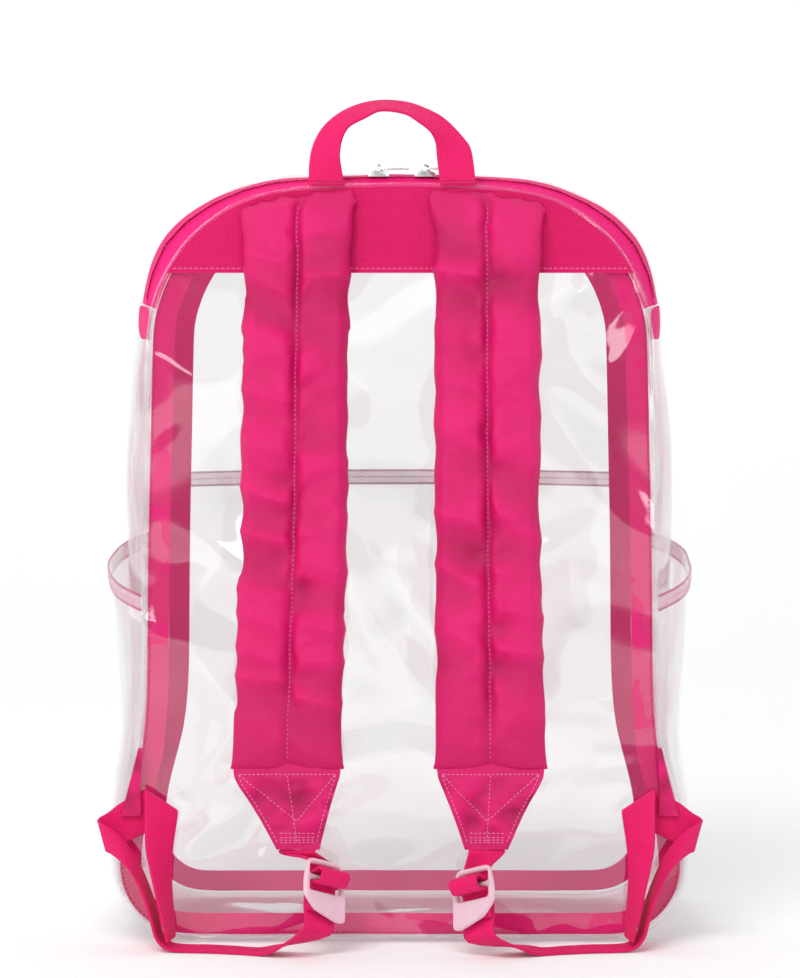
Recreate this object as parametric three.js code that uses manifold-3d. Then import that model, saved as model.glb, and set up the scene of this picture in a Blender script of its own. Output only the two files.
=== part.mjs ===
import * as THREE from 'three';
import { mergeVertices } from 'three/addons/utils/BufferGeometryUtils.js';
import Module from 'manifold-3d';

// Clear vinyl backpack standing by itself, millimetres, +Z up.
// The side with the shoulder straps faces -Y and the front pocket faces +Y.

// Body
const bodyHeight = 426;
const backHalfWidth = 144;
const depthAtFloor = 150;
const depthAtTop = 126;
const topCornerRadius = 86;
const lowerCornerRadius = 40;
const crownRise = 2;
const seamLift = 3;
const frontTaper = 0.035;
const frontDrop = 0.014;
const sideBulge = 18.5;
const backDome = 3;
const frontDome = 12;

// Materials and the clearance between sewn pieces
const vinyl = 1;
const fabric = 1.4;
const webbingWidth = 20;
const webbingThickness = 1.6;
const sewnGap = 0.3;

// Trim
const bindingWidth = 12;
const bindingThickness = 1.4;
const yokeHeight = 48;
const zipEndDrop = 68;
const zipTapeWidth = 13;
const zipCoilWidth = 5.6;
const zipEndLength = 18;
const sliderLength = 12;
const sliderWidth = 9;
const sliderHeight = 3;
const bridgeWidth = 2.8;
const bridgeWall = 1.3;
const bridgeEye = 2.6;
const pullLength = 17;
const pullThickness = 1.2;
const pullWidth = 7;
const pullArm = 1.4;
const pullBar = 1.4;
const sliderSpots = { left: -12, right: 14 };

// Shoulder straps
const strapWidth = 60.5;
const strapThickness = 9;
const strapOut = 57;
const strapLean = 5.8;
const strapStand = 33;
const strapEndHeight = 102;
const strapTabLength = 43;
const strapTabEndWidth = 24;
const tabSag = 1;

// Grab handle
const handleHalfWidth = 50.6;
const handleRise = 47.6;

// Ladder locks
const lockWidth = 29;
const lockLength = 34;
const lockThickness = 3;
const lockSlotWidth = 22.5;
const lockSlotHeight = 6;
const lockBar = 3.2;
const lockYaw = 42;
const lockPitch = 25;
const lockStand = 42;
const lockHeight = 37;

// Corner tabs
const cornerTabTop = 111.6;
const cornerTabWidth = 11.5;
const tabStand = 6;

// Pockets
const sidePocketHemAtBack = 197;
const sidePocketHemAtFront = 226;
const sidePocketStand = 9.5;
const frontPocketHeight = 256;
const frontPocketStand = 14;
const hemWidth = 9;
const hemThickness = 1;

// Back outline between the two corner arcs: shares of the body height and of the back half width.
const sideRows = [
  { height: 0.1, half: 1.111 },
  { height: 0.14, half: 1.102 },
  { height: 0.176, half: 1.084 },
  { height: 0.218, half: 1.05 },
  { height: 0.263, half: 1.016 },
  { height: 0.33, half: 1.0 },
  { height: 0.42, half: 0.997 },
  { height: 0.52, half: 0.993 },
  { height: 0.61, half: 0.986 },
  { height: 0.7, half: 0.979 },
  { height: 0.8, half: 0.972 },
];

// How far the gusset swells past the seams at mid depth: shares of the body height and of the side bulge.
const bulgeRows = [
  { height: 0, share: 0.4 },
  { height: 0.09, share: 0.28 },
  { height: 0.19, share: 0.42 },
  { height: 0.33, share: 0.72 },
  { height: 0.45, share: 0.82 },
  { height: 0.52, share: 0.95 },
  { height: 0.69, share: 1.0 },
  { height: 0.79, share: 0.62 },
  { height: 0.86, share: 0.8 },
  { height: 0.92, share: 1.12 },
  { height: 1, share: 0.55 },
];

// Folds of the gusset: side (-1 left, 1 right), shares of height and depth, reach in each, depth of the fold.
const foldRows = [
  { side: -1, height: 0.8, depth: 0.16, alongHeight: 0.06, alongDepth: 0.12, sink: 5 },
  { side: -1, height: 0.62, depth: 0.62, alongHeight: 0.16, alongDepth: 0.1, sink: 3 },
  { side: -1, height: 0.36, depth: 0.45, alongHeight: 0.12, alongDepth: 0.16, sink: 2.5 },
  { side: 1, height: 0.8, depth: 0.2, alongHeight: 0.05, alongDepth: 0.12, sink: 4 },
  { side: 1, height: 0.58, depth: 0.5, alongHeight: 0.18, alongDepth: 0.12, sink: 3.5 },
  { side: 1, height: 0.3, depth: 0.66, alongHeight: 0.1, alongDepth: 0.14, sink: 2.5 },
];

const lerp = THREE.MathUtils.lerp;
const radians = THREE.MathUtils.degToRad;
const wasm = await Module();
wasm.setup();

const paint = {
  clear: { color: 0xebe9eb, roughness: 0.08, metalness: 0, transparent: true, opacity: 0.3 },
  cloth: { color: 0xe21e70, roughness: 0.75, metalness: 0 },
  webbing: { color: 0xe81968, roughness: 0.8, metalness: 0 },
  frosted: { color: 0xf0d7e1, roughness: 0.45, metalness: 0 },
  coil: { color: 0xd51c70, roughness: 0.5, metalness: 0 },
  metal: { color: 0xd8d8da, roughness: 0.25, metalness: 1 },
};

const bag = new THREE.Group();

function add(name, geometry, finish, parent = bag) {
  const mesh = new THREE.Mesh(geometry, new THREE.MeshStandardMaterial(paint[finish]));
  mesh.name = name;
  parent.add(mesh);
  return mesh;
}

// Closed body from points and triangles, turned so that its faces point out.
function body(points, triangles) {
  let volume = 0;
  for (const [a, b, c] of triangles) {
    volume += points[a].dot(new THREE.Vector3().crossVectors(points[b], points[c]));
  }
  const order = volume < 0 ? triangles.map(([a, b, c]) => [a, c, b]) : triangles;
  const geometry = new THREE.BufferGeometry();
  const flat = points.flatMap((p) => [p.x, p.y, p.z]);
  geometry.setAttribute('position', new THREE.Float32BufferAttribute(flat, 3));
  geometry.setIndex(order.flat());
  return geometry;
}

function quad(list, a, b, c, d) {
  list.push([a, b, c], [a, c, d]);
}

// Wall between two grids of points; closed rows join end to start.
function wall(outer, inner, closed = false) {
  const rows = outer.length;
  const columns = outer[0].length;
  const points = [...outer.flat(), ...inner.flat()];
  const under = rows * columns;
  const at = (r, c) => (r % rows) * columns + c;
  const triangles = [];
  const spans = closed ? rows : rows - 1;
  for (let r = 0; r < spans; r += 1) {
    for (let c = 0; c < columns - 1; c += 1) {
      quad(triangles, at(r, c), at(r + 1, c), at(r + 1, c + 1), at(r, c + 1));
      quad(triangles, under + at(r, c), under + at(r, c + 1), under + at(r + 1, c + 1), under + at(r + 1, c));
    }
    const last = columns - 1;
    quad(triangles, at(r, 0), under + at(r, 0), under + at(r + 1, 0), at(r + 1, 0));
    quad(triangles, at(r, last), at(r + 1, last), under + at(r + 1, last), under + at(r, last));
  }
  if (!closed) {
    for (let c = 0; c < columns - 1; c += 1) {
      quad(triangles, at(0, c), at(0, c + 1), under + at(0, c + 1), under + at(0, c));
      const end = rows - 1;
      quad(triangles, at(end, c), under + at(end, c), under + at(end, c + 1), at(end, c + 1));
    }
  }
  return body(points, triangles);
}

// Solid through closed sections of equal count, with flat ends.
function loft(sections) {
  const count = sections[0].length;
  const points = sections.flat();
  const triangles = [];
  for (let s = 0; s < sections.length - 1; s += 1) {
    for (let k = 0; k < count; k += 1) {
      const next = (k + 1) % count;
      quad(triangles, s * count + k, s * count + next, (s + 1) * count + next, (s + 1) * count + k);
    }
  }
  for (const [start, flip] of [[0, true], [(sections.length - 1) * count, false]]) {
    for (let k = 1; k < count - 1; k += 1) {
      const face = [start, start + k, start + k + 1];
      triangles.push(flip ? face.reverse() : face);
    }
  }
  return body(points, triangles);
}

// Value from rows of { height, key } at a share of the height, eased between rows.
function fromRows(rows, key, height) {
  if (height <= rows[0].height) return rows[0][key];
  for (let k = 1; k < rows.length; k += 1) {
    if (height <= rows[k].height) {
      const share = (height - rows[k - 1].height) / (rows[k].height - rows[k - 1].height);
      return lerp(rows[k - 1][key], rows[k][key], share);
    }
  }
  return rows[rows.length - 1][key];
}

// Half outline of the back seam, from the middle of the bottom to the middle of the top.
const lowerHalfWidth = backHalfWidth * sideRows[0].half;
const upperHalfWidth = backHalfWidth * sideRows[sideRows.length - 1].half;
const crownEdge = bodyHeight - crownRise;
const zipEndHeight = bodyHeight - zipEndDrop;
const topCentre = { x: upperHalfWidth - topCornerRadius, z: crownEdge - topCornerRadius };
const lowerCentre = { x: lowerHalfWidth - lowerCornerRadius, z: seamLift + lowerCornerRadius };
const zipEndAngle = Math.asin((zipEndHeight - topCentre.z) / topCornerRadius);

function arc(centre, radius, from, to, steps) {
  return Array.from({ length: steps + 1 }, (_, k) => {
    const angle = lerp(from, to, k / steps);
    return { x: centre.x + radius * Math.cos(angle), z: centre.z + radius * Math.sin(angle) };
  });
}

const bottomRun = [0, 0.25, 0.5, 0.75].map((share) => ({ x: lowerCentre.x * share, z: seamLift }));
const lowerCorner = arc(lowerCentre, lowerCornerRadius, -Math.PI / 2, 0, 6);
const sideCurve = new THREE.SplineCurve([
  new THREE.Vector2(lowerHalfWidth, lowerCentre.z),
  ...sideRows.slice(1, -1).map((row) => new THREE.Vector2(row.half * backHalfWidth, row.height * bodyHeight)),
  new THREE.Vector2(upperHalfWidth, topCentre.z),
]);
const side = sideCurve.getPoints(13).slice(1).map((p) => ({ x: p.x, z: p.y }));
const underZip = arc(topCentre, topCornerRadius, 0, zipEndAngle, 2).slice(1);
const overZip = arc(topCentre, topCornerRadius, zipEndAngle, Math.PI / 2, 7).slice(1);
const crown = [0.66, 0.33].map((share) => ({
  x: topCentre.x * share,
  z: bodyHeight - crownRise * share * share,
}));
const rightHalf = [...bottomRun, ...lowerCorner, ...side, ...underZip, ...overZip, ...crown];
const topMiddle = { x: 0, z: bodyHeight };
const leftHalf = rightHalf.slice(1).reverse().map((p) => ({ x: -p.x, z: p.z }));
const loop = [...rightHalf, topMiddle, ...leftHalf];

// Outline points with their outward direction.
function withNormals(points) {
  return points.map((p, k) => {
    const before = points[(k + points.length - 1) % points.length];
    const after = points[(k + 1) % points.length];
    const run = new THREE.Vector2(after.x - before.x, after.z - before.z).normalize();
    return { x: p.x, z: p.z, nx: run.y, nz: -run.x };
  });
}

const stations = withNormals(loop);
const zipEndIndex = bottomRun.length + lowerCorner.length + side.length + underZip.length - 1;
const zipStations = stations.slice(zipEndIndex, stations.length - zipEndIndex + 1);
const lowerStations = [
  ...stations.slice(stations.length - zipEndIndex),
  ...stations.slice(0, zipEndIndex + 1),
];
const sideStations = stations.slice(bottomRun.length, zipEndIndex + 1);

// Station on the side at a height; handed 1 for the right side and -1 for the left.
function sideStation(height, handed) {
  let k = 1;
  while (k < sideStations.length - 1 && sideStations[k].z < height) k += 1;
  const a = sideStations[k - 1];
  const b = sideStations[k];
  const share = THREE.MathUtils.clamp((height - a.z) / (b.z - a.z), 0, 1);
  return {
    x: handed * lerp(a.x, b.x, share),
    z: height,
    nx: handed * lerp(a.nx, b.nx, share),
    nz: lerp(a.nz, b.nz, share),
  };
}

const seamSetback = vinyl + sewnGap;

function depthAt(height) {
  return lerp(depthAtFloor, depthAtTop, height / bodyHeight);
}

function foldSink(station, depth) {
  let sink = 0;
  for (const fold of foldRows) {
    if (fold.side * station.nx <= 0.3) continue;
    const up = (station.z / bodyHeight - fold.height) / fold.alongHeight;
    const across = (depth - fold.depth) / fold.alongDepth;
    sink += fold.sink * Math.exp(-up * up - across * across);
  }
  return sink * Math.sin(Math.PI * depth);
}

// Point of the gusset at a share of the depth, moved in by inset along the outline's direction.
function skin(station, depth, inset = 0) {
  const height = station.z / bodyHeight;
  const crownShare = Math.pow(Math.max(Math.sin(Math.PI * depth), 0), 0.75);
  const swell = sideBulge * fromRows(bulgeRows, 'share', height) * crownShare;
  const out = swell - foldSink(station, depth) - inset;
  const run = depthAt(station.z) - 2 * seamSetback;
  const z = station.z * (1 - frontDrop * depth) + station.nz * out;
  return new THREE.Vector3(
    station.x * (1 - frontTaper * depth) + station.nx * out,
    seamSetback + depth * run,
    Math.max(z, inset),
  );
}

function range(from, to, steps) {
  return Array.from({ length: steps + 1 }, (_, k) => lerp(from, to, k / steps));
}

// Wall of the gusset over a list of stations and a span of the depth.
function band(list, from, to, steps, thickness, inset = 0) {
  const grid = (at) => list.map((station) => range(from, to, steps).map((depth) => skin(station, depth, at)));
  return wall(grid(inset), grid(inset + thickness));
}

// Back panel: a sheet inside the back outline that swells a little towards the wearer.
function backFace(x, z) {
  const across = 1 - Math.pow(x / backHalfWidth, 2);
  const up = Math.sin(Math.PI * THREE.MathUtils.clamp(z / bodyHeight, 0, 1));
  return -backDome * Math.max(across, 0) * up;
}

function frontPoint(station) {
  return { x: station.x * (1 - frontTaper), z: station.z * (1 - frontDrop) };
}

function frontFace(x, z) {
  const across = 1 - Math.pow(x / (backHalfWidth * (1 + 0.02)), 2);
  const up = Math.pow(Math.sin(Math.PI * THREE.MathUtils.clamp(z / bodyHeight, 0, 1)), 0.8);
  return depthAt(z / (1 - frontDrop)) + frontDome * Math.max(across, 0) * up;
}

// Sheet with a hub and rings out to an outline, between two surfaces.
function panel(outline, rings, face, under) {
  const centre = { x: 0, z: bodyHeight * 0.45 };
  const points = [];
  const triangles = [];
  const count = outline.length;
  for (const surface of [face, under]) {
    points.push(new THREE.Vector3(centre.x, surface(centre.x, centre.z), centre.z));
    for (const share of rings) {
      for (const p of outline) {
        const x = lerp(centre.x, p.x, share);
        const z = lerp(centre.z, p.z, share);
        points.push(new THREE.Vector3(x, surface(x, z), z));
      }
    }
  }
  const half = points.length / 2;
  for (let k = 0; k < count; k += 1) {
    const next = (k + 1) % count;
    triangles.push([0, 1 + k, 1 + next], [half, half + 1 + next, half + 1 + k]);
    for (let r = 0; r < rings.length - 1; r += 1) {
      const a = 1 + r * count;
      const b = a + count;
      quad(triangles, a + k, b + k, b + next, a + next);
      quad(triangles, half + a + k, half + a + next, half + b + next, half + b + k);
    }
    const rim = 1 + (rings.length - 1) * count;
    quad(triangles, rim + k, half + rim + k, half + rim + next, rim + next);
  }
  return body(points, triangles);
}

const backRings = [0.45, 0.85, 1];
add('back_panel', panel(stations, backRings, backFace, (x, z) => backFace(x, z) + vinyl), 'clear');

const frontOutline = stations.map(frontPoint);
add('front_panel', panel(frontOutline, backRings, frontFace, (x, z) => frontFace(x, z) - vinyl), 'clear');

// Gusset: one clear strip round the bottom and sides, and over the top the zip and a clear strip.
add('lower_gusset', band(lowerStations, 0, 1, 8, vinyl), 'clear');

const zipDepth = depthAt(bodyHeight) - 2 * seamSetback;
const tapeShare = zipTapeWidth / zipDepth;
const coilShare = zipCoilWidth / zipDepth;
const gapShare = sewnGap / zipDepth;
const upperStations = zipStations.map((station, k, list) => {
  if (k > 0 && k < list.length - 1) return station;
  const inward = k === 0 ? list[1] : list[k - 1];
  const share = sewnGap / Math.hypot(inward.x - station.x, inward.z - station.z);
  return {
    x: lerp(station.x, inward.x, share),
    z: lerp(station.z, inward.z, share),
    nx: station.nx,
    nz: station.nz,
  };
});
const coilStart = tapeShare + gapShare;
const frontTapeStart = coilStart + coilShare + gapShare;
const topStripStart = frontTapeStart + tapeShare + gapShare;
add('zip_tape_back', band(upperStations, 0, tapeShare, 1, fabric), 'cloth');
add('zip_coil', band(upperStations, coilStart, coilStart + coilShare, 1, fabric + 0.6, -0.6), 'coil');
add('zip_tape_front', band(upperStations, frontTapeStart, frontTapeStart + tapeShare, 1, fabric), 'cloth');
add('top_gusset', band(upperStations, topStripStart, 1, 4, vinyl), 'clear');

// Tabs folded over the zip's ends, sewn on the outside of the lower gusset.
for (const [sideName, handed] of [['left', -1], ['right', 1]]) {
  const heights = range(zipEndHeight - zipEndLength, zipEndHeight - sewnGap, 2);
  const list = heights.map((height) => sideStation(height, handed));
  add(`zip_end_${sideName}`, band(list, 0.01, topStripStart, 2, fabric, -fabric - sewnGap), 'cloth');
}

// Bindings: tapes laid flat inside the back and front seams.
function bindingRing(place, inward) {
  const outer = stations.map((station) => [place(station, 0, 0), place(station, bindingWidth, 0)]);
  const inner = stations.map((station) => [place(station, 0, inward), place(station, bindingWidth, inward)]);
  return wall(outer, inner, true);
}

function backBindingPoint(station, across, inward) {
  const inset = fabric + sewnGap + across;
  const x = station.x - station.nx * inset;
  const z = station.z - station.nz * inset;
  return new THREE.Vector3(x, backFace(x, z) + vinyl + sewnGap + inward, z);
}

function frontBindingPoint(station, across, inward) {
  const inset = fabric + sewnGap + across;
  const edge = frontPoint(station);
  const x = edge.x - station.nx * inset;
  const z = edge.z - station.nz * inset;
  return new THREE.Vector3(x, frontFace(x, z) - vinyl - sewnGap - inward, z);
}

add('back_binding', bindingRing(backBindingPoint, bindingThickness), 'cloth');
add('front_binding', bindingRing(frontBindingPoint, bindingThickness), 'cloth');

// Yoke: a band of gridded fabric across the top of the back panel, on the outside.
const yokeBottom = bodyHeight - yokeHeight;
const yokeEdge = [
  sideStationOnArc(yokeBottom),
  ...overZip.filter((p) => p.z > yokeBottom + 4),
  ...crown,
  { x: 6, z: bodyHeight },
];

function sideStationOnArc(height) {
  const rise = height - topCentre.z;
  return { x: topCentre.x + Math.sqrt(topCornerRadius ** 2 - rise ** 2), z: height };
}

function yokeGrid(lift) {
  return yokeEdge.map((p) => range(-p.x, p.x, 8).map((x) => new THREE.Vector3(x, backFace(x, p.z) - lift, p.z)));
}

add('yoke', wall(yokeGrid(sewnGap + fabric), yokeGrid(sewnGap)), 'cloth');

// Shoulder straps: padded, sewn into the top seam, standing off the panel towards the lower end.
// Shares of the strap's length from the top, offset sideways, stand-off, and shares of width and thickness.
const strapRows = [
  { along: 0, shift: 0, stand: 0.115, width: 1.05, thick: 0.3 },
  { along: 0.02, shift: 0, stand: 0.152, width: 1.06, thick: 0.5 },
  { along: 0.06, shift: 0, stand: 0.227, width: 1.01, thick: 0.95 },
  { along: 0.12, shift: 0.034, stand: 0.303, width: 0.99, thick: 1 },
  { along: 0.2, shift: 0.069, stand: 0.364, width: 1.0, thick: 0.98 },
  { along: 0.28, shift: 0.103, stand: 0.409, width: 0.985, thick: 1.03 },
  { along: 0.36, shift: 0.138, stand: 0.455, width: 1.0, thick: 0.97 },
  { along: 0.44, shift: 0.19, stand: 0.515, width: 0.99, thick: 1.02 },
  { along: 0.52, shift: 0.276, stand: 0.576, width: 1.01, thick: 0.98 },
  { along: 0.6, shift: 0.379, stand: 0.636, width: 0.99, thick: 1.02 },
  { along: 0.68, shift: 0.5, stand: 0.712, width: 1.005, thick: 0.97 },
  { along: 0.76, shift: 0.621, stand: 0.788, width: 1.0, thick: 1.02 },
  { along: 0.84, shift: 0.741, stand: 0.864, width: 1.01, thick: 1 },
  { along: 0.92, shift: 0.862, stand: 0.939, width: 1.02, thick: 0.98 },
  { along: 0.98, shift: 0.966, stand: 0.985, width: 1.05, thick: 0.8 },
  { along: 1, shift: 1, stand: 1, width: 1.04, thick: 0.35 },
];

// Half of the pad's section, edge to edge over the centre stitch: shares of half width and half thickness.
const padSection = [
  { across: -1, thick: 0.3 },
  { across: -0.86, thick: 0.85 },
  { across: -0.45, thick: 1 },
  { across: 0, thick: 0.62 },
  { across: 0.45, thick: 1 },
  { across: 0.86, thick: 0.85 },
  { across: 1, thick: 0.3 },
];

// Places of the two sides: shares of the strap's place across, of its lean and of the lock's height.
const straps = [
  { name: 'left', handed: -1, top: 1, lean: 1, tabTip: 0.993, lockOut: 0.737, lockUp: 1 },
  { name: 'right', handed: 1, top: 0.842, lean: 0.4, tabTip: 0.842, lockOut: 0.719, lockUp: 0.892 },
];
const strapTop = bodyHeight - crownRise - 0.6;
const strapRun = strapTop - strapEndHeight;

// How far the top seam has fallen at a distance from the middle.
function seamDrop(x) {
  const past = Math.abs(x) - topCentre.x;
  return past > 0 ? crownRise + topCornerRadius - Math.sqrt(topCornerRadius ** 2 - past ** 2) : 0;
}

for (const { name, handed, top, lean } of straps) {
  const sections = strapRows.map((row) => {
    const centre = {
      x: handed * (top * strapOut + lean * row.shift * strapLean),
      y: -row.stand * strapStand,
      z: strapTop - row.along * strapRun,
    };
    const surface = (face) => padSection.map((p) => {
      const x = centre.x + (p.across * row.width * strapWidth) / 2;
      const y = centre.y + (face * p.thick * row.thick * strapThickness) / 2;
      return new THREE.Vector3(x, y, centre.z - seamDrop(x) * Math.pow(1 - row.along, 12));
    });
    return [...surface(-1), ...surface(1).reverse()];
  });
  add(`shoulder_strap_${name}`, loft(sections), 'cloth');
}

function strapEndX({ handed, top, lean }) {
  return handed * (top * strapOut + lean * strapLean);
}

// Flat strap between two edge lines; each row holds the two edges' points.
function ribbon(rows, thickness = webbingThickness) {
  const edges = rows.map(([p, q]) => [new THREE.Vector3(...p), new THREE.Vector3(...q)]);
  const middles = edges.map(([p, q]) => p.clone().add(q).multiplyScalar(0.5));
  const sections = edges.map(([p, q], k) => {
    const before = middles[Math.max(k - 1, 0)];
    const after = middles[Math.min(k + 1, edges.length - 1)];
    const run = after.clone().sub(before).normalize();
    const across = q.clone().sub(p).normalize();
    const normal = new THREE.Vector3().crossVectors(run, across).normalize();
    const lift = normal.multiplyScalar(thickness / 2);
    return [p.clone().add(lift), q.clone().add(lift), q.clone().sub(lift), p.clone().sub(lift)];
  });
  return loft(sections);
}

// The given rows with one smooth row between each two.
function smoothRows(rows) {
  const lines = [0, 1].map((edge) => new THREE.CatmullRomCurve3(rows.map((row) => new THREE.Vector3(...row[edge]))));
  return range(0, 1, 2 * (rows.length - 1)).map((t) => lines.map((line) => line.getPoint(t).toArray()));
}

// Strap end tabs: doubled fabric that narrows from the pad to the webbing.
for (const strap of straps) {
  const x = strapEndX(strap);
  const tipX = strap.handed * strap.tabTip * strapOut;
  const y = -strapStand;
  const top = strapEndHeight - sewnGap;
  const tip = top - strapTabLength;
  const wide = strapWidth / 2;
  const narrow = strapTabEndWidth / 2;
  const rows = [
    { along: 0, middle: x, half: wide },
    { along: 0.14, middle: x, half: wide * 0.93 },
    { along: 0.51, middle: lerp(x, tipX, 0.5), half: wide * 0.66 },
    { along: 1, middle: tipX, half: narrow },
  ];
  const edges = rows.map(({ along, middle, half }) => [-half, half].map((across) => (
    [middle + across, y - along * tabSag, lerp(top, tip, along)]
  )));
  add(`strap_tab_${strap.name}`, ribbon(edges, 2 * fabric), 'cloth');
}

// Ladder locks: a frosted plate with two slots and a slanted lower lip, turned and tipped on its webbing.
function roundedPath(corners, radius) {
  const shape = new THREE.Shape();
  const count = corners.length;
  corners.forEach((corner, k) => {
    const before = corners[(k + count - 1) % count];
    const after = corners[(k + 1) % count];
    const from = corner.clone().add(before.clone().sub(corner).setLength(radius));
    const to = corner.clone().add(after.clone().sub(corner).setLength(radius));
    if (k === 0) shape.moveTo(from.x, from.y);
    else shape.lineTo(from.x, from.y);
    shape.quadraticCurveTo(corner.x, corner.y, to.x, to.y);
  });
  shape.closePath();
  return shape;
}

function slot(middle, height, width) {
  const half = new THREE.Vector2(width / 2, height / 2);
  return roundedPath([
    new THREE.Vector2(-half.x, middle - half.y),
    new THREE.Vector2(-half.x, middle + half.y),
    new THREE.Vector2(half.x, middle + half.y),
    new THREE.Vector2(half.x, middle - half.y),
  ], 1);
}

const upperSlot = lockLength / 2 - lockBar - lockSlotHeight / 2;
const lowerSlot = upperSlot - lockSlotHeight - lockBar;

function lockGeometry(handed) {
  const half = new THREE.Vector2(lockWidth / 2, lockLength / 2);
  const outline = [
    new THREE.Vector2(-half.x * 0.8, half.y),
    new THREE.Vector2(half.x * 0.8, half.y),
    new THREE.Vector2(half.x, half.y * 0.3),
    new THREE.Vector2(half.x, -half.y),
    new THREE.Vector2(half.x * 0.6, -half.y),
    new THREE.Vector2(-half.x * 0.5, -half.y * 0.72),
    new THREE.Vector2(-half.x, -half.y * 0.25),
    new THREE.Vector2(-half.x, half.y * 0.3),
  ].map((p) => new THREE.Vector2(-handed * p.x, p.y));
  const plate = roundedPath(THREE.ShapeUtils.isClockWise(outline) ? outline.reverse() : outline, 2.5);
  plate.holes.push(slot(upperSlot, lockSlotHeight, lockSlotWidth), slot(lowerSlot, lockSlotHeight, lockSlotWidth));
  const geometry = new THREE.ExtrudeGeometry(plate, {
    depth: lockThickness - 1,
    bevelEnabled: true,
    bevelThickness: 0.5,
    bevelSize: 0.5,
    bevelSegments: 1,
    bevelOffset: -0.5,
    curveSegments: 2,
  });
  return geometry.translate(0, 0, -(lockThickness - 1) / 2);
}

// Frame of a lock: x across, y along the webbing, z out towards the wearer.
function lockFrame(strap) {
  const yaw = radians(lockYaw) * strap.handed;
  const pitch = radians(lockPitch);
  const across = new THREE.Vector3(1, 0, 0);
  const along = new THREE.Vector3(0, 0, 1);
  const out = new THREE.Vector3(0, -1, 0);
  const frame = new THREE.Matrix4().makeBasis(across, along, out);
  const turn = new THREE.Matrix4().makeRotationZ(-yaw);
  const tip = new THREE.Matrix4().makeRotationX(-pitch);
  const place = new THREE.Matrix4().makeTranslation(
    strap.handed * strap.lockOut * strapOut,
    -lockStand,
    strap.lockUp * lockHeight,
  );
  return place.multiply(tip).multiply(turn).multiply(frame);
}

for (const strap of straps) {
  const lock = add(`ladder_lock_${strap.name}`, lockGeometry(strap.handed), 'frosted');
  lock.applyMatrix4(lockFrame(strap));
}

// Where webbing passes a lock: clear of its bars and behind its plate.
const threadGap = webbingThickness / 2 + 2 * sewnGap;
const threadUp = upperSlot - lockSlotHeight / 2 + threadGap;
const threadDown = lowerSlot + lockSlotHeight / 2 - threadGap;
const behindPlate = -lockThickness / 2 - threadGap;
const behindTail = behindPlate - webbingThickness - 2 * sewnGap;

// Rows in a lock's own frame, edge to edge across the webbing.
function threaded(strap, rows, width) {
  const frame = lockFrame(strap);
  return rows.map((row) => [1, -1].map((side) => (
    new THREE.Vector3((-strap.handed * side * width) / 2, row.along, row.out).applyMatrix4(frame).toArray()
  )));
}

// Strap stubs: webbing from the strap's end tab that passes behind the lock's top bar.
for (const strap of straps) {
  const tipX = strap.handed * strap.tabTip * strapOut;
  const y = -strapStand - tabSag;
  const top = strapEndHeight - strapTabLength - 2 * sewnGap;
  const half = webbingWidth / 2;
  const sewn = [
    [[tipX - strap.handed * half, y, top], [tipX + strap.handed * half, y, top]],
    [[tipX - strap.handed * half, y, top - 2], [tipX + strap.handed * half, y, top - 2]],
  ];
  const hook = threaded(strap, [
    { along: lockLength / 2, out: behindPlate },
    { along: upperSlot, out: behindPlate },
  ], webbingWidth);
  add(`strap_stub_${strap.name}`, ribbon([...sewn, ...hook]), 'webbing');
}

// Adjusting webbings. Each row holds the outer and the inner edge: shares of the lower half width, of the
// webbing's width and of the corner tab's top.
// The free end hangs in front, folds over at the corner tab, loops round outside it and runs down to the floor.
const cornerRows = [
  { out: [0.8101, 0.7907], depth: [-1.65, -0.7], height: [0.0538, 0.0538] },
  { out: [0.8345, 0.797], depth: [-1.6, -0.65], height: [0.1971, 0.1971] },
  { out: [0.8626, 0.8032], depth: [-1.4, -0.6], height: [0.3584, 0.3584] },
  { out: [0.8876, 0.797], depth: [-1.15, -0.55], height: [0.5197, 0.5018] },
  { out: [0.8913, 0.7851], depth: [-0.85, -0.525], height: [0.681, 0.6093] },
  { out: [0.8938, 0.7788], depth: [-0.65, -0.5], height: [0.7742, 0.672] },
  { out: [0.8957, 0.7838], depth: [-0.46, -0.36], height: [0.7885, 0.6828] },
  { out: [0.897, 0.7901], depth: [-0.23, -0.23], height: [0.7742, 0.6667] },
  { out: [0.9751, 0.8626], depth: [-0.22, -0.22], height: [0.7258, 0.5914] },
  { out: [1.0251, 0.9501], depth: [-0.22, -0.22], height: [0.672, 0.5287] },
  { out: [1.0539, 1.0151], depth: [-0.31, -0.31], height: [0.6487, 0.4928] },
  { out: [1.0576, 1.0289], depth: [-0.47, -0.48], height: [0.6362, 0.4803] },
  { out: [1.0376, 1.0064], depth: [-0.61, -0.68], height: [0.6219, 0.4695] },
  { out: [0.9876, 0.9601], depth: [-0.65, -1], height: [0.5735, 0.4211] },
  { out: [0.9313, 0.9188], depth: [-0.63, -1.3], height: [0.4659, 0.3459] },
  { out: [0.8851, 0.8876], depth: [-0.61, -1.5], height: [0.3226, 0.2509] },
  { out: [0.8538, 0.8663], depth: [-0.6, -1.58], height: [0.1792, 0.1523] },
  { out: [0.8376, 0.8501], depth: [-0.6, -1.6], height: [0.0806, 0.0717] },
  { out: [0.8063, 0.8151], depth: [-0.62, -1.62], height: [0.0233, 0.0215] },
  { out: [0.7563, 0.7563], depth: [-0.65, -1.65], height: [0.0099, 0.0099] },
  { out: [0.6626, 0.6563], depth: [-0.75, -1.75], height: [0.0099, 0.0099] },
];

// From the floor up to the lock: the floor end is fixed, the rest follows the lock's own frame.
const floorRows = [
  { out: [0.5751, 0.5563], depth: [-0.95, -1.95], height: [0.0099, 0.0099] },
  { out: [0.5001, 0.4813], depth: [-1.2, -2.2], height: [0.0108, 0.0125] },
  { out: [0.4375, 0.4313], depth: [-1.45, -2.43], height: [0.0305, 0.0412] },
];

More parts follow.
